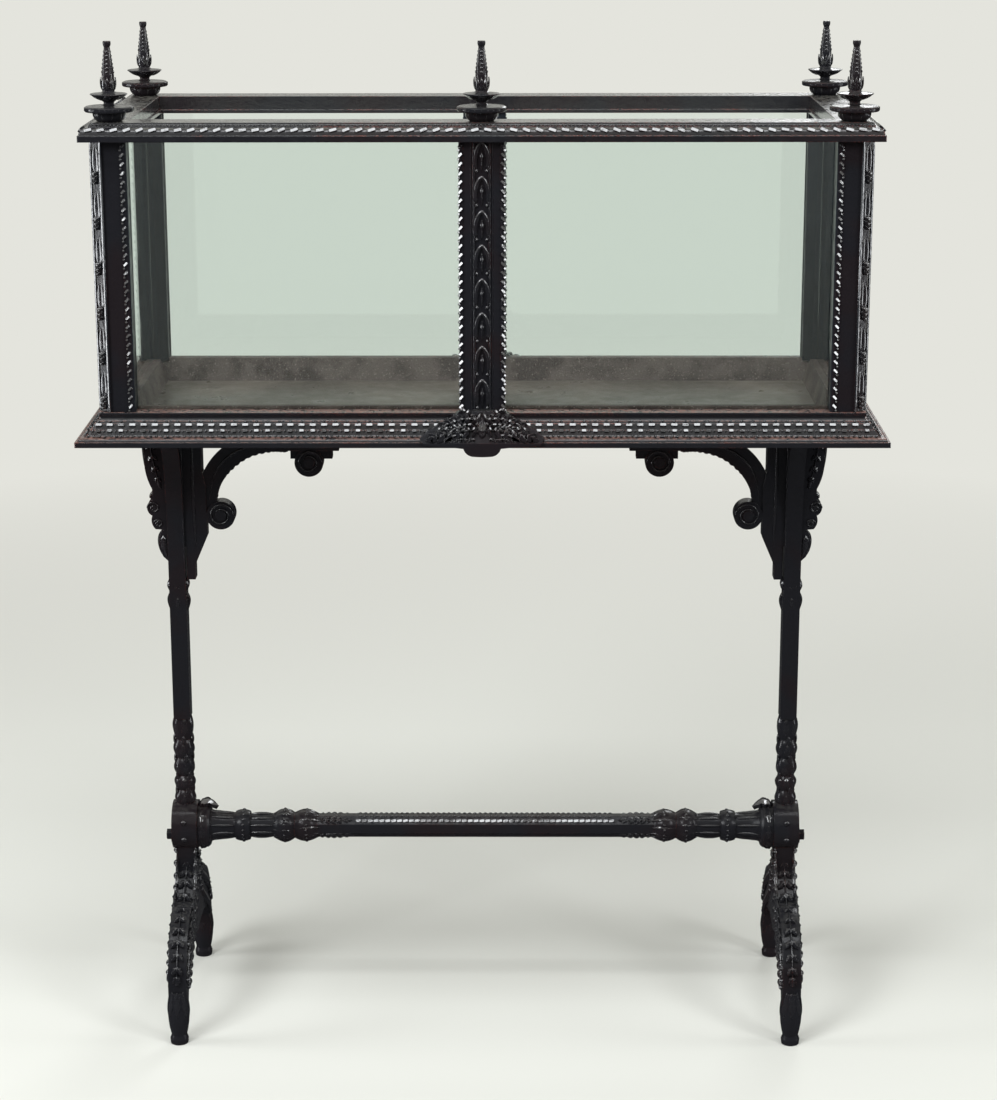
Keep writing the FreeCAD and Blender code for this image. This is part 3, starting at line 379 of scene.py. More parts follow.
# The coats of enamel: how much dust lies on ledges, how far the edges are rubbed, how rough the
# skin is, how strongly the paint and the varnish over it shine, and the worn edges' radius
ENAMELS = {
    # Plain castings, with the varnish gone and a low sheen left
    "stove_enamel": dict(dust=0.1, wear=0.4, lumps=0.4, shine=0.14, gloss=0.0, rounding=1.4),
    # Fine carving, where the varnish stands thickest and glints white
    "carved_enamel": dict(dust=0.03, wear=0.3, lumps=0.2, shine=0.3, gloss=1.0, rounding=0.5),
    # Carving on the stand, a little duller
    "carved_stand_enamel": dict(dust=0.05, wear=0.3, lumps=0.3, shine=0.25, gloss=0.6,
                                rounding=0.8),
    # The tray's mouldings, rubbed through to a red-brown bloom
    "worn_tray_enamel": dict(dust=0.85, wear=1.5, lumps=0.4, shine=0.3, gloss=0.3, rounding=1.4,
                             ledge="#8d6a60"),
    # The top rail, rubbed by hands and grey with dust
    "dusty_rail_enamel": dict(dust=0.4, wear=1.2, lumps=0.4, shine=0.3, gloss=0.3, rounding=1.4),
}


def enamel_finish(name, dust, wear, lumps, shine, gloss, rounding, ledge=None):
    """Black japan, stoved and brushed thick over rough cast iron.

    It is deep black and wet-looking. The sand-cast skin breaks its reflections into small
    bright glints. The red-brown undercoat shows on rubbed edges and dust lies on ledges.
    """
    finishes = bpy.context.scene.case_finishes
    tree, places = start_finish(name)
    normal = add_node(tree, "ShaderNodeNewGeometry", take="Normal")
    rounded = add_node(tree, "ShaderNodeBevel", {"Radius": rounding * MM}, samples=4)
    facing = add_node(tree, VECTOR_MATH, {0: rounded, 1: normal}, "Value", operation="DOT_PRODUCT")
    edges = add_node(tree, RANGE, {"Value": facing, "From Min": 0.985, "From Max": 0.80})
    # Rubbed stretches are about 110 mm long and the chips in them 3 mm
    rubbed = add_node(tree, NOISE, {"Vector": places, "Scale": 1 / (110 * MM), "Detail": 3.0})
    rubbed = add_node(tree, RANGE, {"Value": rubbed, "From Min": 0.49, "From Max": 0.58})
    chips = add_node(tree, NOISE, {"Vector": places, "Scale": 1 / (3 * MM), "Detail": 4.0})
    chipped = add_node(tree, RANGE, {"Value": chips, "From Min": 0.46, "From Max": 0.56})
    worn = add_node(tree, MATH, {0: edges, 1: chipped}, operation="MULTIPLY")
    worn = add_node(tree, MATH, {0: worn, 1: rubbed}, operation="MULTIPLY")
    worn = add_node(tree, MATH, {0: worn, 1: wear}, operation="MULTIPLY", use_clamp=True)
    warm = add_node(tree, MATH, {0: rubbed, 1: 0.4}, operation="MULTIPLY")
    # A dull film on the faces that look in over the bed
    level = add_node(tree, VECTOR_MATH, {0: places, 1: (1, 1, 0)}, operation="MULTIPLY")
    inward = add_node(tree, VECTOR_MATH, {0: level, 1: normal}, "Value", operation="DOT_PRODUCT")
    height = add_node(tree, "ShaderNodeSeparateXYZ", {0: places}, "Z")
    above = add_node(tree, MATH, {0: height, 1: POST_MIDDLE * MM, 2: POST_HALF * MM},
                     operation="COMPARE")
    filmed = add_node(tree, RANGE, {"Value": inward, "From Min": -0.02, "From Max": -0.12})
    filmed = add_node(tree, MATH, {0: filmed, 1: above}, operation="MULTIPLY")
    upward = add_node(tree, "ShaderNodeSeparateXYZ", {0: normal}, "Z")
    upward = add_node(tree, RANGE, {"Value": upward, "From Min": 0.6, "From Max": 0.98})
    # Dust in clots of about 5 mm
    clots = add_node(tree, NOISE, {"Vector": places, "Scale": 1 / (5 * MM), "Detail": 4.0})
    clots = add_node(tree, RANGE, {"Value": clots, "From Min": 0.38, "From Max": 0.62})
    dusty = add_node(tree, MATH, {0: upward, 1: clots}, operation="MULTIPLY")
    dusty = add_node(tree, MATH, {0: dusty, 1: dust}, operation="MULTIPLY")
    # Warm brown in the rubbed stretches, undercoat on the edges, film, then dust over all
    layers = ((warm, linear("#251a1b")), (worn, finishes.wear), (filmed, linear("#1d2127")),
              (dusty, linear(ledge) if ledge else finishes.dust))
    # Brush marks change the gloss every 14 mm or so
    brushed = add_node(tree, NOISE, {"Vector": places, "Scale": 1 / (14 * MM), "Detail": 2.0})
    rough = add_node(tree, RANGE, {"Value": brushed, "From Min": 0.3, "From Max": 0.7,
                                   "To Min": 0.12, "To Max": 0.26})
    for dulling, amount in ((dusty, 0.5), (filmed, 0.16)):
        rough = add_node(tree, MATH, {0: dulling, 1: amount, 2: rough}, operation="MULTIPLY_ADD")
    # Sand grain of 0.5 mm would be too fine to show, so it is drawn 2 mm wide, over 6 mm lumps
    grain = add_node(tree, NOISE, {"Vector": places, "Scale": 1 / (2 * MM), "Detail": 2.0})
    swells = add_node(tree, NOISE, {"Vector": places, "Scale": 1 / (6 * MM), "Detail": 1.0})
    skin = add_node(tree, MATH, {0: swells, 1: 2.2, 2: grain}, operation="MULTIPLY_ADD")
    bumped = add_node(tree, "ShaderNodeBump",
                      {"Strength": 1.0, "Distance": 0.35 * lumps * MM, "Height": skin,
                       "Normal": rounded})
    end_finish(tree, finishes.enamel,
               {"Roughness": rough, "Normal": bumped, "IOR": 1.5, "Specular IOR Level": shine,
                "Coat Weight": gloss, "Coat Roughness": 0.13, "Coat IOR": 1.62,
                "Coat Normal": bumped}, layers)


def cement_finish():
    """Old bedding cement, trowelled by hand: matt, gritty and brown-grey, with pale grains."""
    tree, places = start_finish("trowelled_cement")
    # Grit of about 1 mm, drawn 1.8 mm wide so that it shows
    grit = add_node(tree, NOISE, {"Vector": places, "Scale": 1 / (1.8 * MM), "Detail": 4.0})
    pale = add_node(tree, RANGE, {"Value": grit, "From Min": 0.60, "From Max": 0.72})
    damp = add_node(tree, NOISE, {"Vector": places, "Scale": 1 / (30 * MM), "Detail": 3.0})
    damp = add_node(tree, RANGE, {"Value": damp, "From Min": 0.4, "From Max": 0.6})
    bumped = add_node(tree, "ShaderNodeBump",
                      {"Strength": 0.9, "Distance": 0.6 * MM, "Height": grit})
    end_finish(tree, bpy.context.scene.case_finishes.cement,
               {"Roughness": 0.62, "Normal": bumped},
               ((damp, linear("#3b2c29")), (pale, linear("#a3968c"))))


def bed_finish():
    """Iron plate under old oil paint: flat and half glossy, with grey-brown stains."""
    tree, places = start_finish("painted_bed_plate")
    stain = add_node(tree, NOISE, {"Vector": places, "Scale": 1 / (90 * MM), "Detail": 3.0})
    stain = add_node(tree, RANGE, {"Value": stain, "From Min": 0.35, "From Max": 0.65})
    # Specks of soil of about 3 mm
    soil = add_node(tree, NOISE, {"Vector": places, "Scale": 1 / (3 * MM), "Detail": 4.0})
    soil = add_node(tree, RANGE, {"Value": soil, "From Min": 0.62, "From Max": 0.70})
    wiped = add_node(tree, NOISE, {"Vector": places, "Scale": 1 / (25 * MM), "Detail": 3.0})
    rough = add_node(tree, RANGE, {"Value": wiped, "From Min": 0.3, "From Max": 0.7,
                                   "To Min": 0.26, "To Max": 0.5})
    pits = add_node(tree, NOISE, {"Vector": places, "Scale": 1 / (4 * MM), "Detail": 3.0})
    bumped = add_node(tree, "ShaderNodeBump",
                      {"Strength": 0.3, "Distance": 0.3 * MM, "Height": pits})
    end_finish(tree, bpy.context.scene.case_finishes.bed,
               {"Roughness": rough, "Normal": bumped},
               ((stain, linear("#5e564f")), (soil, linear("#867b70"))))


def glass_finish():
    """Old drawn sheet glass: clear and faintly grey-green, with slow ripples and a thin film."""
    tree, places = start_finish("drawn_sheet_glass")
    film = add_node(tree, NOISE, {"Vector": places, "Scale": 1 / (60 * MM), "Detail": 5.0})
    film = add_node(tree, RANGE, {"Value": film, "From Min": 0.5, "From Max": 0.8,
                                  "To Min": 0.0, "To Max": 0.06})
    ripple = add_node(tree, NOISE, {"Vector": places, "Scale": 1 / (80 * MM), "Detail": 1.0})
    bumped = add_node(tree, "ShaderNodeBump",
                      {"Strength": 0.08, "Distance": 0.5 * MM, "Height": ripple})
    end_finish(tree, linear("#f1f8f5"), {"Roughness": film, "Normal": bumped, "IOR": 1.52,
                                         "Transmission Weight": 1.0})


# Share of the backdrop's brightness that lights the case, from the world and from the floor
WORLD_LIGHTING = 0.45
FLOOR_LIGHTING = 0.2


def backdrop_strength(tree, lighting):
    """Full strength for the rays that see the backdrop, and less as light on the case."""
    seen = 0.0
    for ray in ("Is Camera Ray", "Is Glossy Ray", "Is Transmission Ray"):
        kind = add_node(tree, "ShaderNodeLightPath", take=ray)
        seen = add_node(tree, MATH, {0: kind, 1: seen}, operation="MAXIMUM")
    return add_node(tree, RANGE, {"Value": seen, "To Min": lighting, "To Max": 1.0})


def paper_finish():
    """Uncoated studio paper: plain, pale and matt, and as bright as the background far away."""
    colour = bpy.context.scene.case_finishes.backdrop
    tree, places = start_finish("matt_studio_paper")
    reach = add_node(tree, VECTOR_MATH, {0: places}, "Value", operation="LENGTH")
    far = add_node(tree, RANGE, {"Value": reach, "From Min": 0.9, "From Max": 3.0})
    glow = add_node(tree, "ShaderNodeEmission",
                    {"Color": opaque(colour), "Strength": backdrop_strength(tree, FLOOR_LIGHTING)})
    end_finish(tree, colour, {"Roughness": 0.9, "Specular IOR Level": 0.1}, lit=((far, glow),))


def felt_finish():
    """Dull black wool felt, with no shine at all."""
    tree, places = start_finish("black_felt")
    fibres = add_node(tree, NOISE, {"Vector": places, "Scale": 1 / (2 * MM)})
    napped = add_node(tree, "ShaderNodeBump", {"Distance": 1 * MM, "Height": fibres})
    end_finish(tree, linear("#2a2a2c"), {"Roughness": 1.0, "Normal": napped})


OTHER_FINISHES = {
    "trowelled_cement": cement_finish,
    "painted_bed_plate": bed_finish,
    "drawn_sheet_glass": glass_finish,
    "matt_studio_paper": paper_finish,
    "black_felt": felt_finish,
}


def finish(name):
    """The finish of that name, made the first time that it is asked for."""
    if name not in bpy.data.materials:
        if name in ENAMELS:
            enamel_finish(name, **ENAMELS[name])
        else:
            OTHER_FINISHES[name]()
    return bpy.data.materials[name]


# The start of a casting's name and its finish. The last row is for all the others.
NODE_FINISHES = (
    ("tray_rail", "worn_tray_enamel"),
    ("top_rail", "dusty_rail_enamel"),
    ("seal", "trowelled_cement"),
    ("bed_plate", "painted_bed_plate"),
    ("glass", "drawn_sheet_glass"),
    ("", "stove_enamel"),
)


class WARDIAN_OT_castings(Operator):
    """Give the plain castings, panes, seals and bolts their finishes"""
    bl_idname = "wardian.castings"
    bl_label = "Finish the Castings"

    def execute(self, context):
        for name, node in NODES.items():
            kind = next(kind for start, kind in NODE_FINISHES if name.startswith(start))
            node.data.materials.clear()
            node.data.materials.append(finish(kind))
        return {"FINISHED"}


# Case


class WARDIAN_OT_tray_beading(Operator):
    """Rows of studs and beads round the tray's moulding"""
    bl_idname = "wardian.tray_beading"
    bl_label = "Tray Beading"

    def execute(self, context):
        pitch = context.scene.case_sizes.bead_pitch / MM
        upper = stud(7.4, 3.6, 2.8)
        lower = stud(5.4, 3.4, 3.0)
        reel = bead(2.6, 4.4, 5.0, rings=4, sides=8)
        pearl = bead(3.4, 3.0, 3.6, rings=4, sides=6)
        shapes = []
        for turn, spread, shift in SIDES:
            side = standing(0, 0, 0, turn) @ standing(0, shift, 0)
            for place in evenly(176.4 + spread, pitch):
                # The studs lean so that they show a lamp to the eye, each a little differently
                shapes += [
                    moved(upper, side @ standing(place, 176.6, 775.6, uneven(place, 3))
                          @ leaning(41 + uneven(place, 2.4))),
                    moved(pearl, side @ standing(place, 173.8, 780.0)),
                    moved(lower, side @ standing(place, 180.9, 769.8, uneven(place, -4))
                          @ leaning(37.6 + uneven(place, -3.4))),
                    moved(reel, side @ standing(place + pitch / 2, 180.2, 770.2)),
                ]
            for place in evenly(184.0 + spread, pitch / 2):
                shapes.append(moved(pearl, side @ standing(place, 185.6, 765.4)))
        add_piece("tray_beading", shapes, "carved_enamel")
        return {"FINISHED"}


class WARDIAN_OT_rail_leaves(Operator):
    """Slanting leaves and fine beads round the top rail"""
    bl_idname = "wardian.rail_leaves"
    bl_label = "Rail Leaves"

    def execute(self, context):
        pitch = context.scene.case_sizes.rail_leaf_pitch / MM
        lobe = stud(9.0, 3.8, 3.4)
        fine = bead(3.2, 2.6, 2.6, rings=4, sides=6)
        shapes = []
        for turn, spread, shift in SIDES:
            side = standing(0, 0, 0, turn) @ standing(0, shift, 0)
            for place in evenly(176.0 + spread, pitch):
                # The leaves slant away from the middle of each side
                slant = 18 if place > 0 else -18
                shapes.append(moved(lobe, side @ standing(place, 176.4, 1104.6, uneven(place, 3))
                                    @ leaning(36.8 + uneven(place, 2.6),
                                              slant + uneven(place, 7))))
            for place in evenly(168.4 + spread, 4.2):
                shapes.append(moved(fine, side @ standing(place, 168.6, 1110.4)))
        add_piece("rail_leaves", shapes, "carved_enamel")
        return {"FINISHED"}


def rope(pitch, width, slant):
    """A strip of twisted rope that faces +Y, about X zero, from the tray to the top rail."""
    twist = stud(pitch * 0.58, width * 0.44, width * 0.44)
    eye = stud(width * 0.40, width * 0.36, width * 0.36)
    way = math.copysign(1, slant)
    shapes = []
    for place in evenly(POST_HALF - 1, pitch):
        height = POST_MIDDLE + place
        seat = standing(0, 0, height, (uneven(place, 2.5) - 20) * way)
        shapes.append(moved(twist, seat @ leaning(20 + uneven(place, 2), slant)))
        seat = standing(width * 0.28 * way, 0, height - pitch * 0.45, -24 * way)
        shapes.append(moved(eye, seat @ leaning(16)))
    return shapes


class WARDIAN_OT_corner_posts(Operator):
    """Rope strips, fillets and foliage on the four corner posts"""
    bl_idname = "wardian.corner_posts"
    bl_label = "Corner Post Carving"

    def execute(self, context):
        pitch = context.scene.case_sizes.rope_pitch / MM
        spray = sprig([(0, 0, 0), (0, 0, 6), (0, 0, 12)], FACING_Y, 12, 2.8, 2)
        spray += [leaf([(x, 0, 10), (x * 3.6, 0.8, 20), (x * 3.2, 0.7, 34), (x, 0, 43)], FACING_Y,
                       7.2, 0.8, lobes=1, cut=0.0, vein=0.0) for x in (-1, 1)]
        spray.append(moved(bead(6.5, 6.5, 7.5), standing(0, 0.2, 5)))
        fillet = stud(2.4, 2 * POST_HALF - 1, 1.4)
        ropes = []
        foliage = []
        for turn, across, along in CORNERS:
            post = standing(POST_CORNER * across, POST_LINE * along, 0, turn)
            for face, way in ((post, 1), (post @ standing(0, 0, 0, -90), -1)):
                ropes += moved_all(rope(pitch, 6.4, 50 * way),
                                   face @ standing(-15.2 * way, 17.8, 0))
            panel = post @ standing(14.8, 14.8, 0, -45)
            for side in (-8.4, 8.4):
                foliage.append(moved(fillet, panel @ standing(side, 0.2, POST_MIDDLE)))
            for place in evenly(POST_HALF, 48):
                foliage += moved_all(spray, panel @ standing(0, 0, POST_MIDDLE + place - 22))
        add_piece("corner_post_ropes", ropes, "carved_enamel")
        add_piece("corner_post_foliage", foliage, "carved_enamel")
        return {"FINISHED"}


class WARDIAN_OT_centre_posts(Operator):
    """Rope strips and a chain of husks on the two centre posts"""
    bl_idname = "wardian.centre_posts"
    bl_label = "Centre Post Carving"

    def execute(self, context):
        sizes = context.scene.case_sizes
        arch = [(-6.4, 0, -29), (-6.7, 0.3, -18), (-5.2, 0.7, -7), (0, 1.0, 0), (5.2, 0.7, -7),
                (6.7, 0.3, -18), (6.4, 0, -29)]
        bud = leaf([(0, 0, 0), (0, 0.6, -10), (0, 0.2, -24)], FACING_Y, 5.0, 2.6, lobes=2)
        curl = bead(4.0, 5.0, 5.0)
        husk = [ridge(arch, FACING_Y, 4.8, 2.6, count=44, taper=0.06),
                moved(bud, standing(0, 0.2, -8)),
                moved(curl, standing(-5.6, 0.4, -31)),
                moved(curl, standing(5.6, 0.4, -31))]
        rod = ridge([(0, 0, TRAY_TOP + 1), (0, 0, RAIL_BASE - 1)], FACING_Y, 2.2, 0.9, taper=0.01)
        ropes = []
        shapes = []
        for side in (-1, 1):
            ropes += moved_all(rope(sizes.rope_pitch / MM, 6.8, 50 * side),
                               standing(22.8 * side, 18.0, 0))
            shapes.append(moved(rod, standing(8.8 * side, 19.0, 0)))
            shapes.append(moved(rod, standing(11.9 * side, 17.6, 0)))
            foot = [(5.4 * side, 17.6, 796), (5.4 * side, 18.0, 806), (5.4 * side, 17.6, 817)]
            shapes.append(ridge(foot, FACING_Y, 3.8, 2.6))
        for place in evenly(POST_HALF, sizes.husk_pitch / MM):
            shapes += moved_all(husk, standing(0, 17.5, POST_MIDDLE + place + 17))
        post = standing(0, POST_LINE, 0)
        add_piece("centre_post_ropes", both_ways(moved_all(ropes, post)), "carved_enamel")
        add_piece("centre_post_husks", both_ways(moved_all(shapes, post)), "carved_enamel")
        return {"FINISHED"}


# The cartouche's leaning face: outward and upward for each millimetre up the slope
SLOPE_OUT = -0.5547
SLOPE_UP = 0.832


def on_slope(x, up, lift=0.0):
    """A point on the cartouche's face, or lifted off it."""
    return (x, 199.8 + SLOPE_OUT * up + SLOPE_UP * lift, 760 + SLOPE_UP * up - SLOPE_OUT * lift)


def slope_line(*places):
    """Points on the cartouche's face."""
    return [on_slope(*place) for place in places]


class WARDIAN_OT_cartouches(Operator):
    """Acanthus leaves on the cartouches at the foot of the centre posts"""
    bl_idname = "wardian.cartouches"
    bl_label = "Cartouche Leaves"

    def execute(self, context):
        # The leaves curl up a little from the slope
        out = (0, 0.747, 0.665)
        right = []
        for run, width, rise, pairs, splay in (
            (((6, 15), (24, 13), (42, 9), (60, 4)), 22, 4.4, 5, 50),
            (((8, 3.4), (22, 3.6), (40, 3)), 8, 2.0, 5, 42),
            (((6, 27), (20, 28), (34, 24), (48, 16)), 20, 4.4, 4, 50),
            (((4, 20), (9, 30), (18, 37), (24, 39)), 12, 3.2, 3, 42),
        ):
            right += sprig(slope_line(*run), out, width, rise, pairs, splay=splay)
        for run, width, height in (
            (((17, 9.5, 2), (30, 8, 2.5), (43, 1.5, 1)), 5.2, 2.6),
            (((17, 19, 2), (29, 17, 2.5), (40, 9, 2)), 3.4, 2.6),
            (((0.8, 37, 2.5), (3.6, 31, 4), (7, 24, 3)), 3.6, 2.4),
        ):
            right.append(ridge(slope_line(*run), out, width, height))
        berry = bead(4.4, 4.4, 4.4)
        for x, up in ((14, 21), (28, 19), (40, 17), (10, 4), (22, 3), (34, 1.5), (52, 9), (30, 33)):
            right.append(moved(berry, standing(*on_slope(x, up, 1.2))))
        # Veins along the leaves, where the light catches them
        glint = stud(3.8, 2.0, 2.4)
        for run in (((9, 16), (24, 14.5), (42, 11)), ((8, 27), (20, 28), (34, 24), (48, 16)),
                    ((6, 22), (10, 31), (18, 37), (23, 39)), ((14, 21), (28, 19.5), (40, 16))):
            for x, y, z in smooth_path([on_slope(x, up, 3.2) for x, up in run], 6):
                right.append(moved(glint, standing(x, y, z, uneven(x, 9))
                                   @ leaning(39 + uneven(z, 8), uneven(y, 60))))
        shapes = right + moved_all(right, Matrix.Diagonal((-1, 1, 1, 1)))
        shapes.append(leaf(slope_line((0, 6), (0, 20, 2), (0, 37, 1)), out, 12, 3.4,
                           lobes=context.scene.case_sizes.leaf_lobes))
        # Nothing stands out past the tray
        limit = [math.inf, TRAY_EDGE, math.inf]
        shapes = [(np.minimum(points, limit), faces) for points, faces in shapes]
        add_piece("cartouche_leaves_back", shapes, "carved_enamel")
        add_piece("cartouche_leaves_front", moved_all(shapes, standing(0, 0, 0, 180)),
                  "carved_enamel")
        return {"FINISHED"}


class WARDIAN_OT_finials(Operator):
    """Leaf cups, ribs and scales on the finials"""
    bl_idname = "wardian.finials"
    bl_label = "Finial Leaves"

    def execute(self, context):
        shapes = leaf_ring([(6.2, 33.5), (7.6, 37.5), (8.2, 43), (8.3, 48)], 4, 4.5, 0.8, lobes=2)
        shapes += leaf_ring([(6.2, 33.5), (6.6, 41), (5.8, 55)], 4, 7, 1.0, start=45, lobes=3)
        shapes += leaf_ring([(13.0, 1), (16.3, 5), (18.0, 9.6)], 10, 9.5, 1.2, lobes=2)
        shapes += leaf_ring([(9.0, 23.4), (14.5, 26.2), (19.2, 28.6)], 8, 9, 1.0, lobes=2)
        shapes += around(moved(bead(5.4, 3.2, 2.0), standing(0, 26.6, 13.5)), 24)
        shapes += around(ridge([(6.3, 0, 52), (4.9, 0, 66), (3.5, 0, 80)], FACING_X, 2.4, 0.8), 4,
                         start=45)
        scale = bead(3.4, 3.6, 1.8, rings=4, sides=8)
        for row in range(6):
            shapes += around(moved(scale, standing(0, 6.4 - 0.56 * row, 53.5 + 4.4 * row)), 4)
        # The middle of the back keeps a bare stud
        seats = [(POST_CORNER * across, POST_LINE * along) for _, across, along in CORNERS]
        seats.append((0, -POST_LINE))
        finials = []
        for x, y in seats:
            finials += moved_all(shapes, standing(x, y, RAIL_TOP))
        add_piece("finial_leaves", finials, "carved_enamel")
        return {"FINISHED"}


# Stand


def both_frames(shapes):
    """The shapes of one end frame, whose outer side is towards +X, set on both."""
    return both_ways(moved_all(shapes, standing(FRAME_PLACE, 0, 0)))


class WARDIAN_OT_consoles(Operator):
    """Leaf consoles on the outer sides of the columns"""
    bl_idname = "wardian.consoles"
    bl_label = "Console Leaves"

    def execute(self, context):
        shapes = [
            leaf([(34.4, 0, 752), (35.4, 0, 730), (34.8, 0, 702), (32.0, 0, 680), (27.6, 0, 662)],
                 NEARLY_X, 24, 2.6, lobes=6),
            leaf([(15.6, 0, 609), (19.6, 0, 602), (20.6, 0, 592), (17.6, 0, 580), (10.6, 0, 571)],
                 NEARLY_X, 18, 2.0, lobes=3),
            moved(bead(23, 5, 5), standing(28.6, 0, 652.2, 90)),
            moved(bead(23, 17, 17, rings=10, sides=16), standing(25.2, 0, 638, 90)),
            moved(bead(22, 13, 12, rings=8, sides=14), standing(21.8, 0, 619, 90)),
            moved(bead(22, 5, 5), standing(15.4, 0, 609.5, 90)),
        ]
        for side in (-1, 1):
            out = (0, side, 0)
            cheek = side * 9.8
            for x, z, reach in ((25.4, 638, 8.4), (20.4, 619, 5.6)):
                eye = [(x + u, side * 10.2, z + w) for u, _, w in spiral(reach, 2.0, 1.5)]
                shapes.append(ridge(eye, out, 2.4, 1.8, count=36, taper=0.1))
            stem = [(15, cheek, 750), (27, cheek, 726), (24, cheek, 694), (17, cheek, 664)]
            shapes += sprig(stem, out, 16, 2.2, 6)
            lower = [(15, cheek, 604), (14, cheek, 590), (10, cheek, 574)]
            shapes.append(leaf(lower, out, 9, 1.8, lobes=3))
            edge = [(-9.6, side * 13, 750), (-9.6, side * 13, 560)]
            shapes.append(ridge(edge, out, 1.8, 0.9, taper=0.02))
        add_piece("console_leaves", both_frames(shapes), "carved_stand_enamel")
        return {"FINISHED"}


class WARDIAN_OT_columns(Operator):
    """Leaf knobs and knots on the turned lengths of the columns"""
    bl_idname = "wardian.columns"
    bl_label = "Column Knobs"

    def execute(self, context):
        shapes = leaf_ring([(9.4, 532), (12.4, 521), (10.6, 508)], 8, 9, 1.4, lobes=2)
        shapes += leaf_ring([(9.4, 532), (12.4, 541), (9.8, 551)], 8, 9, 1.4, start=22.5, lobes=2)
        for low, middle, high, count in ((258, 267.5, 278, 8), (278, 289, 297, 8),
                                         (297, 306.8, 320, 7), (320, 331.8, 343.7, 8),
                                         (343.7, 361.5, 377, 7)):
            shapes += leaf_ring([(9.0, low), (12.0, middle), (9.2, high)], count, 8, 1.0, lobes=2)
            shapes += leaf_ring([(10.8, low - 6), (11.0, low), (11.4, low + 6)], 4, 7, 1.4,
                                start=low * 7 % 60, lobes=2)
        # Bosses on the hub
        for side in (-1, 1):
            for height in (221, 243):
                shapes.append(moved(bead(7, 7, 5), standing(0, side * 28.6, height)))
        add_piece("column_leaves", both_frames(shapes), "carved_stand_enamel")
        return {"FINISHED"}


class WARDIAN_OT_legs(Operator):
    """Leaves along the knees and shins, cups over the feet and sprays on the flat sides"""
    bl_idname = "wardian.legs"
    bl_label = "Leg Leaves"

    def execute(self, context):
        leaves = []
        vines = []
        cup = leaf_ring([(9.2, 68), (11.4, 55), (12.6, 44), (12.8, 36)], 8, 8.5, 1.0, lobes=3)
        for side in (-1, 1):
            for run, lean, width in (
                (((11, 185), (22, 169), (45, 149), (62, 128), (66, 112)), (0.75, 0.65), 24),
                (((70, 146), (100, 138), (122, 120), (137, 96), (142, 80)), (0.7, 0.7), 21),
            ):
                leaves += sprig([(0, side * y, z) for y, z in run],
                                (0, side * lean[0], lean[1]), width, 2.8, 6)
            leaves += moved_all(cup, standing(0, side * 132.6, 0))
            for face in (-1, 1):
                for run, width, pairs in (
                    (((12, 205), (30, 160), (70, 135), (105, 112), (128, 80)), 22, 12),
                    (((8, 165), (30, 135), (62, 112), (95, 90), (118, 66)), 20, 11),
                ):
                    vines += sprig([(face * 11, side * y, z) for y, z in run], (face, 0, 0), width,
                                   2.4, pairs)
        add_piece("leg_leaves", both_frames(leaves), "carved_stand_enamel")
        add_piece("leg_vines", both_frames(vines), "carved_stand_enamel")
        return {"FINISHED"}


class WARDIAN_OT_stretcher(Operator):
    """Leaf collars, flutes and fine beads on the stretcher"""
    bl_idname = "wardian.stretcher"
    bl_label = "Stretcher Leaves"

    def execute(self, context):
        # These shapes stand on +Z, with heights measured from the middle of the bar
        shapes = leaf_ring([(15.2, 236), (18.6, 221), (14.0, 205)], 11, 8, 1.3, lobes=4, vein=0.7)
        shapes += leaf_ring([(15.2, 236), (19.4, 248), (14.8, 262)], 11, 8, 1.3, start=22.5,
                            lobes=4, vein=0.7)
        shapes += leaf_ring([(26.0, 354), (25.6, 347), (22.6, 340)], 8, 18, 1.6, lobes=2)
        upper_lobe = leaf([(26, 0, 355), (31.5, 0, 349), (31.5, 0, 340), (25, 0, 330)],
                          (1, 0, 0.1), 26, 1.6, lobes=3, back=5.0)
        lower_lobe = leaf([(24, 0, 355), (27.6, 0, 350), (25.5, 0, 342)], (1, 0, 0.1), 22, 1.4,
                          lobes=2, back=3.0)
        shapes += [moved(upper_lobe, standing(0, 0, 0, 180)), lower_lobe]
        for shape in sprig([(13.2, 0, 204), (13.6, 0, 188), (12.8, 0, 166)], NEARLY_X, 14, 1.8, 4):
            shapes += around(shape, 4, start=45)
        shapes += around(ridge([(14.6, 0, 263), (14.9, 0, 277), (14.6, 0, 290)], FACING_X, 3.8,
                               1.8), 10)
        shapes += around(ridge([(16.0, 0, 311), (16.4, 0, 325), (19.0, 0, 339)], FACING_X, 4.2,
                               1.8), 10)
        pearl = bead(3.8, 3.8, 3.2, rings=4, sides=8)
        for radius, height in ((19.6, 221), (20.4, 248), (19.6, 299)):
            shapes += around(moved(pearl, standing(0, radius, height)), 18)
        # They are laid along +X and copied to the other end
        axis = standing(0, 0, STRETCHER_HEIGHT)
        laid = axis @ Matrix.Rotation(math.radians(90), 4, "Y")
        add_piece("stretcher_leaves", both_ways(moved_all(shapes, laid)), "carved_stand_enamel")
        fine = bead(4.6, 2.8, 3.0, rings=4, sides=8)
        lines = [moved(fine, standing(place, 5.6, 13.4)) for place in evenly(158, 6.4)]
        plain = stud(7.0, 3.8, 1.6)
        for place in evenly(160, 7.2):
            lines.append(moved(plain, standing(place, 10.0, 9.2, uneven(place, 4) - 18)
                               @ leaning(30 + uneven(place, -4), 14)))
        add_piece("stretcher_lines", both_ways(moved_all(lines, axis)), "carved_stand_enamel")
        return {"FINISHED"}


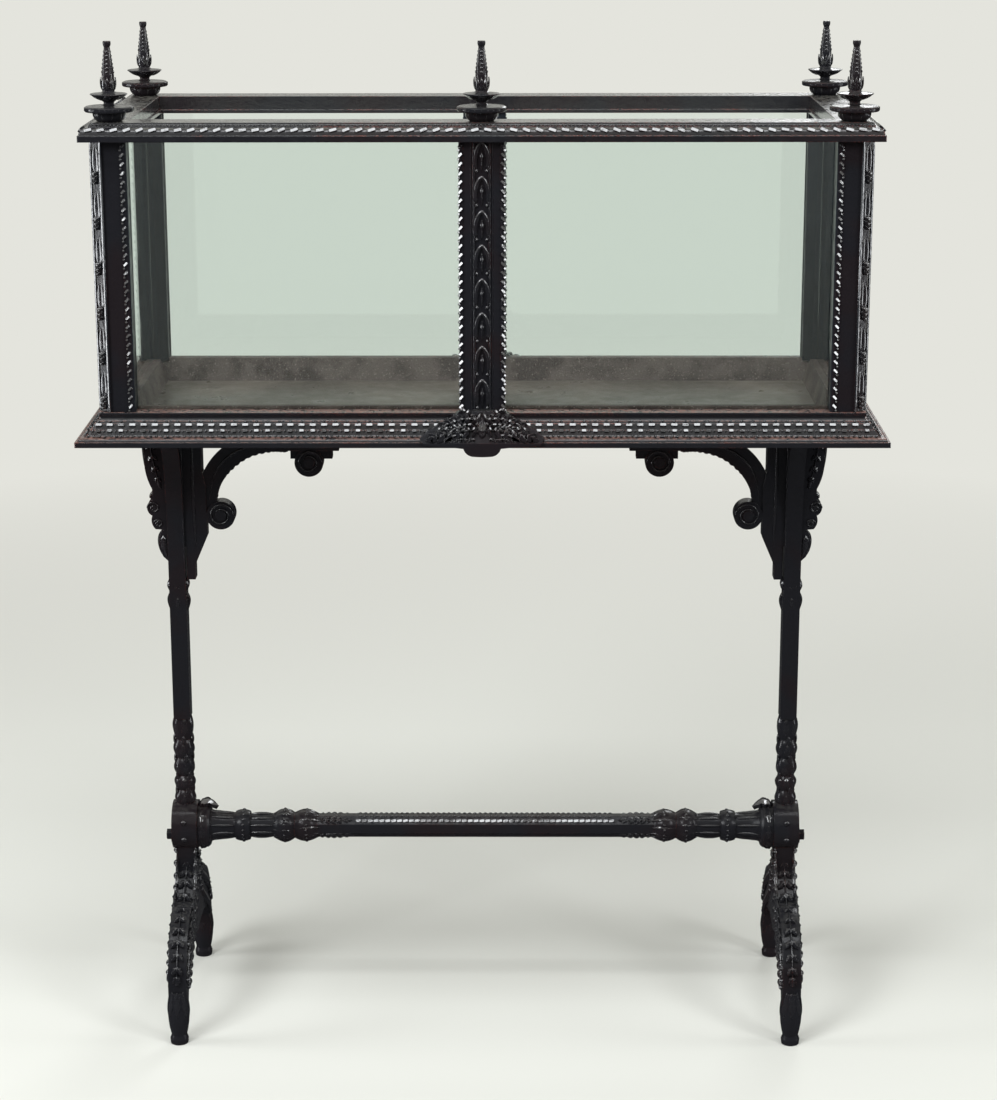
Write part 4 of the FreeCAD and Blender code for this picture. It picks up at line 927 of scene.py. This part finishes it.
class WARDIAN_OT_brackets(Operator):
    """Spirals and beaded edges on the scroll brackets"""
    bl_idname = "wardian.brackets"
    bl_label = "Bracket Scrolls"

    def execute(self, context):
        shapes = []
        edge = smooth_path([(38.4, 0, 646), (42, 0, 663), (54.5, 0, 681), (78, 0, 699),
                            (106, 0, 706.5), (122, 0, 706.5)], 19)
        edge_bead = bead(7.4, 4.4, 15.5)
        for place, way in zip(edge, np.gradient(edge, axis=0)):
            tilt = Matrix.Rotation(-math.atan2(way[2], way[0]), 4, "Y")
            shapes.append(moved(edge_bead, standing(*place) @ tilt))
        for side in (-1, 1):
            out = (0, side, 0)
            cheek = side * 7.8
            face = side * 10.0
            for x, z in ((44.5, 628.5), (151.5, 693.5)):
                rim = [(x + u, face, z + w) for u, _, w in spiral(15.4, 7.0, 1.4)]
                shapes.append(ridge(rim, out, 3.0, 1.8, count=40, taper=0.1))
            arm = [(31, cheek, 646), (38, cheek, 678), (56, cheek, 701), (82, cheek, 713),
                   (112, cheek, 717)]
            shapes.append(ridge(arm, out, 3.0, 1.6))
            shapes.append(ridge([(12, face, 740), (12, face, 650), (14, face, 590)], out, 4, 1.6))
        add_piece("bracket_scrolls", both_ways(moved_all(shapes, standing(-COLUMN_FACE, 0, 0))),
                  "carved_stand_enamel")
        return {"FINISHED"}


# Studio, in metres

CASE_MIDDLE = (0, 0, 0.8)
# Each soft box: its place, width, height and power in watts
LAMPS = {
    "key_lamp": ((-1.9, -2.3, 2.5), 1.1, 1.1, 58),
    "top_lamp": ((0, -1.0, 3.1), 2.0, 0.55, 33),
    "fill_lamp": ((2.2, -1.9, 1.9), 0.6, 0.8, 22),
    "left_card": ((-2.5, -0.2, 0.8), 0.8, 1.2, 26),
    "right_card": ((2.6, -0.2, 0.8), 0.6, 1.2, 14),
    "back_lamp": ((0.9, 2.6, 2.2), 0.8, 0.8, 18),
}
LAMP_COLOUR = (0.95, 0.975, 1.0)
# The camera, with its angles in radians and its lens in millimetres
CAMERA_PLACE = (0.0373, -3.1432, 1.4305)
CAMERA_YAW, CAMERA_PITCH, CAMERA_ROLL = 0.0065, 0.2633, -0.0015
CAMERA_LENS = 88.36


def add_lamp(name, place, width, height, power):
    """A soft box that only its light and reflections show."""
    lamp = bpy.data.lights.new(name, "AREA")
    lamp.shape = "RECTANGLE"
    lamp.size = width
    lamp.size_y = height
    lamp.energy = power
    lamp.color = LAMP_COLOUR
    stand = bpy.data.objects.new(name, lamp)
    stand.location = place
    aim = Vector(CASE_MIDDLE) - Vector(place)
    stand.rotation_euler = aim.to_track_quat("-Z", "Y").to_euler()
    stand.visible_camera = False
    stand.visible_transmission = False
    bpy.context.scene.collection.objects.link(stand)


def add_camera():
    """The camera, a little above the case and well in front of it."""
    ahead = Vector((-math.sin(CAMERA_YAW) * math.cos(CAMERA_PITCH),
                    math.cos(CAMERA_YAW) * math.cos(CAMERA_PITCH), -math.sin(CAMERA_PITCH)))
    level = ahead.cross(Vector((0, 0, 1))).normalized()
    above = level.cross(ahead)
    right = level * math.cos(CAMERA_ROLL) + above * math.sin(CAMERA_ROLL)
    up = above * math.cos(CAMERA_ROLL) - level * math.sin(CAMERA_ROLL)
    data = bpy.data.cameras.new("camera")
    data.lens = CAMERA_LENS
    data.sensor_width = 36
    camera = bpy.data.objects.new("camera", data)
    camera.matrix_world = (Matrix.Translation(CAMERA_PLACE)
                           @ Matrix((right, up, -ahead)).transposed().to_4x4())
    bpy.context.scene.collection.objects.link(camera)
    bpy.context.scene.camera = camera


def add_dark_ring():
    """Black felt on the floor and round the case, which only its reflections show: it
    keeps them deep, as a dark room does."""
    sides = 48
    rings = ((0.01, 0.001), (3.6, 0.001), (3.6, 1.3))
    turns = np.linspace(0, 2 * math.pi, sides, endpoint=False)
    points = [(radius * math.cos(turn), radius * math.sin(turn), height)
              for radius, height in rings for turn in turns]
    faces = [(row * sides + place, row * sides + (place + 1) % sides,
              (row + 1) * sides + (place + 1) % sides, (row + 1) * sides + place)
             for row in range(len(rings) - 1) for place in range(sides)]
    mesh = bpy.data.meshes.new("dark_ring")
    mesh.from_pydata(points, [], faces)
    mesh.materials.append(finish("black_felt"))
    ring = bpy.data.objects.new("dark_ring", mesh)
    for sight in ("camera", "diffuse", "transmission", "shadow"):
        setattr(ring, "visible_" + sight, False)
    bpy.context.scene.collection.objects.link(ring)


def add_floor():
    mesh = bpy.data.meshes.new("studio_floor")
    work = bmesh.new()
    bmesh.ops.create_circle(work, cap_ends=True, segments=64, radius=9)
    work.to_mesh(mesh)
    work.free()
    mesh.materials.append(finish("matt_studio_paper"))
    floor = bpy.data.objects.new("studio_floor", mesh)
    floor.location.z = -0.0002
    bpy.context.scene.collection.objects.link(floor)


def add_background():
    """A plain pale world. It lights the case less than the eye and mirrors see."""
    colour = bpy.context.scene.case_finishes.backdrop
    world = bpy.data.worlds.new("studio")
    world.use_nodes = True
    tree = world.node_tree
    tree.nodes.clear()
    light = add_node(tree, "ShaderNodeBackground",
                     {"Color": opaque(colour), "Strength": backdrop_strength(tree, WORLD_LIGHTING)})
    add_node(tree, "ShaderNodeOutputWorld", {"Surface": light})
    bpy.context.scene.world = world


class WARDIAN_OT_studio(Operator):
    """Pale floor and background, soft lamps and the camera"""
    bl_idname = "wardian.studio"
    bl_label = "Studio"

    def execute(self, context):
        add_floor()
        add_background()
        add_dark_ring()
        for name, settings in LAMPS.items():
            add_lamp(name, *settings)
        add_camera()
        context.scene.view_settings.view_transform = "Standard"
        return {"FINISHED"}


class WARDIAN_PT_panel(Panel):
    """Lists the steps that dress the case"""
    bl_idname = "WARDIAN_PT_panel"
    bl_label = "Wardian Case"
    bl_space_type = "VIEW_3D"
    bl_region_type = "UI"
    bl_category = "Wardian Case"

    def draw(self, context):
        layout = self.layout
        for settings in (context.scene.case_sizes, context.scene.case_finishes):
            box = layout.box()
            for name in settings.__annotations__:
                box.prop(settings, name)
        for operator in OPERATORS:
            layout.operator(operator.bl_idname)


OPERATORS = (
    WARDIAN_OT_castings,
    WARDIAN_OT_tray_beading,
    WARDIAN_OT_rail_leaves,
    WARDIAN_OT_corner_posts,
    WARDIAN_OT_centre_posts,
    WARDIAN_OT_cartouches,
    WARDIAN_OT_finials,
    WARDIAN_OT_consoles,
    WARDIAN_OT_columns,
    WARDIAN_OT_legs,
    WARDIAN_OT_stretcher,
    WARDIAN_OT_brackets,
    WARDIAN_OT_studio,
)
CLASSES = (CaseSizes, CaseFinishes, *OPERATORS, WARDIAN_PT_panel)


def register():
    for item in CLASSES:
        bpy.utils.register_class(item)
    bpy.types.Scene.case_sizes = PointerProperty(type=CaseSizes)
    bpy.types.Scene.case_finishes = PointerProperty(type=CaseFinishes)


def unregister():
    del bpy.types.Scene.case_finishes
    del bpy.types.Scene.case_sizes
    for item in reversed(CLASSES):
        bpy.utils.unregister_class(item)


def main():
    register()
    bpy.ops.wardian.castings()
    bpy.ops.wardian.tray_beading()
    bpy.ops.wardian.rail_leaves()
    bpy.ops.wardian.corner_posts()
    bpy.ops.wardian.centre_posts()
    bpy.ops.wardian.cartouches()
    bpy.ops.wardian.finials()
    bpy.ops.wardian.consoles()
    bpy.ops.wardian.columns()
    bpy.ops.wardian.legs()
    bpy.ops.wardian.stretcher()
    bpy.ops.wardian.brackets()
    bpy.ops.wardian.studio()


if __name__ == "__main__":
    main()
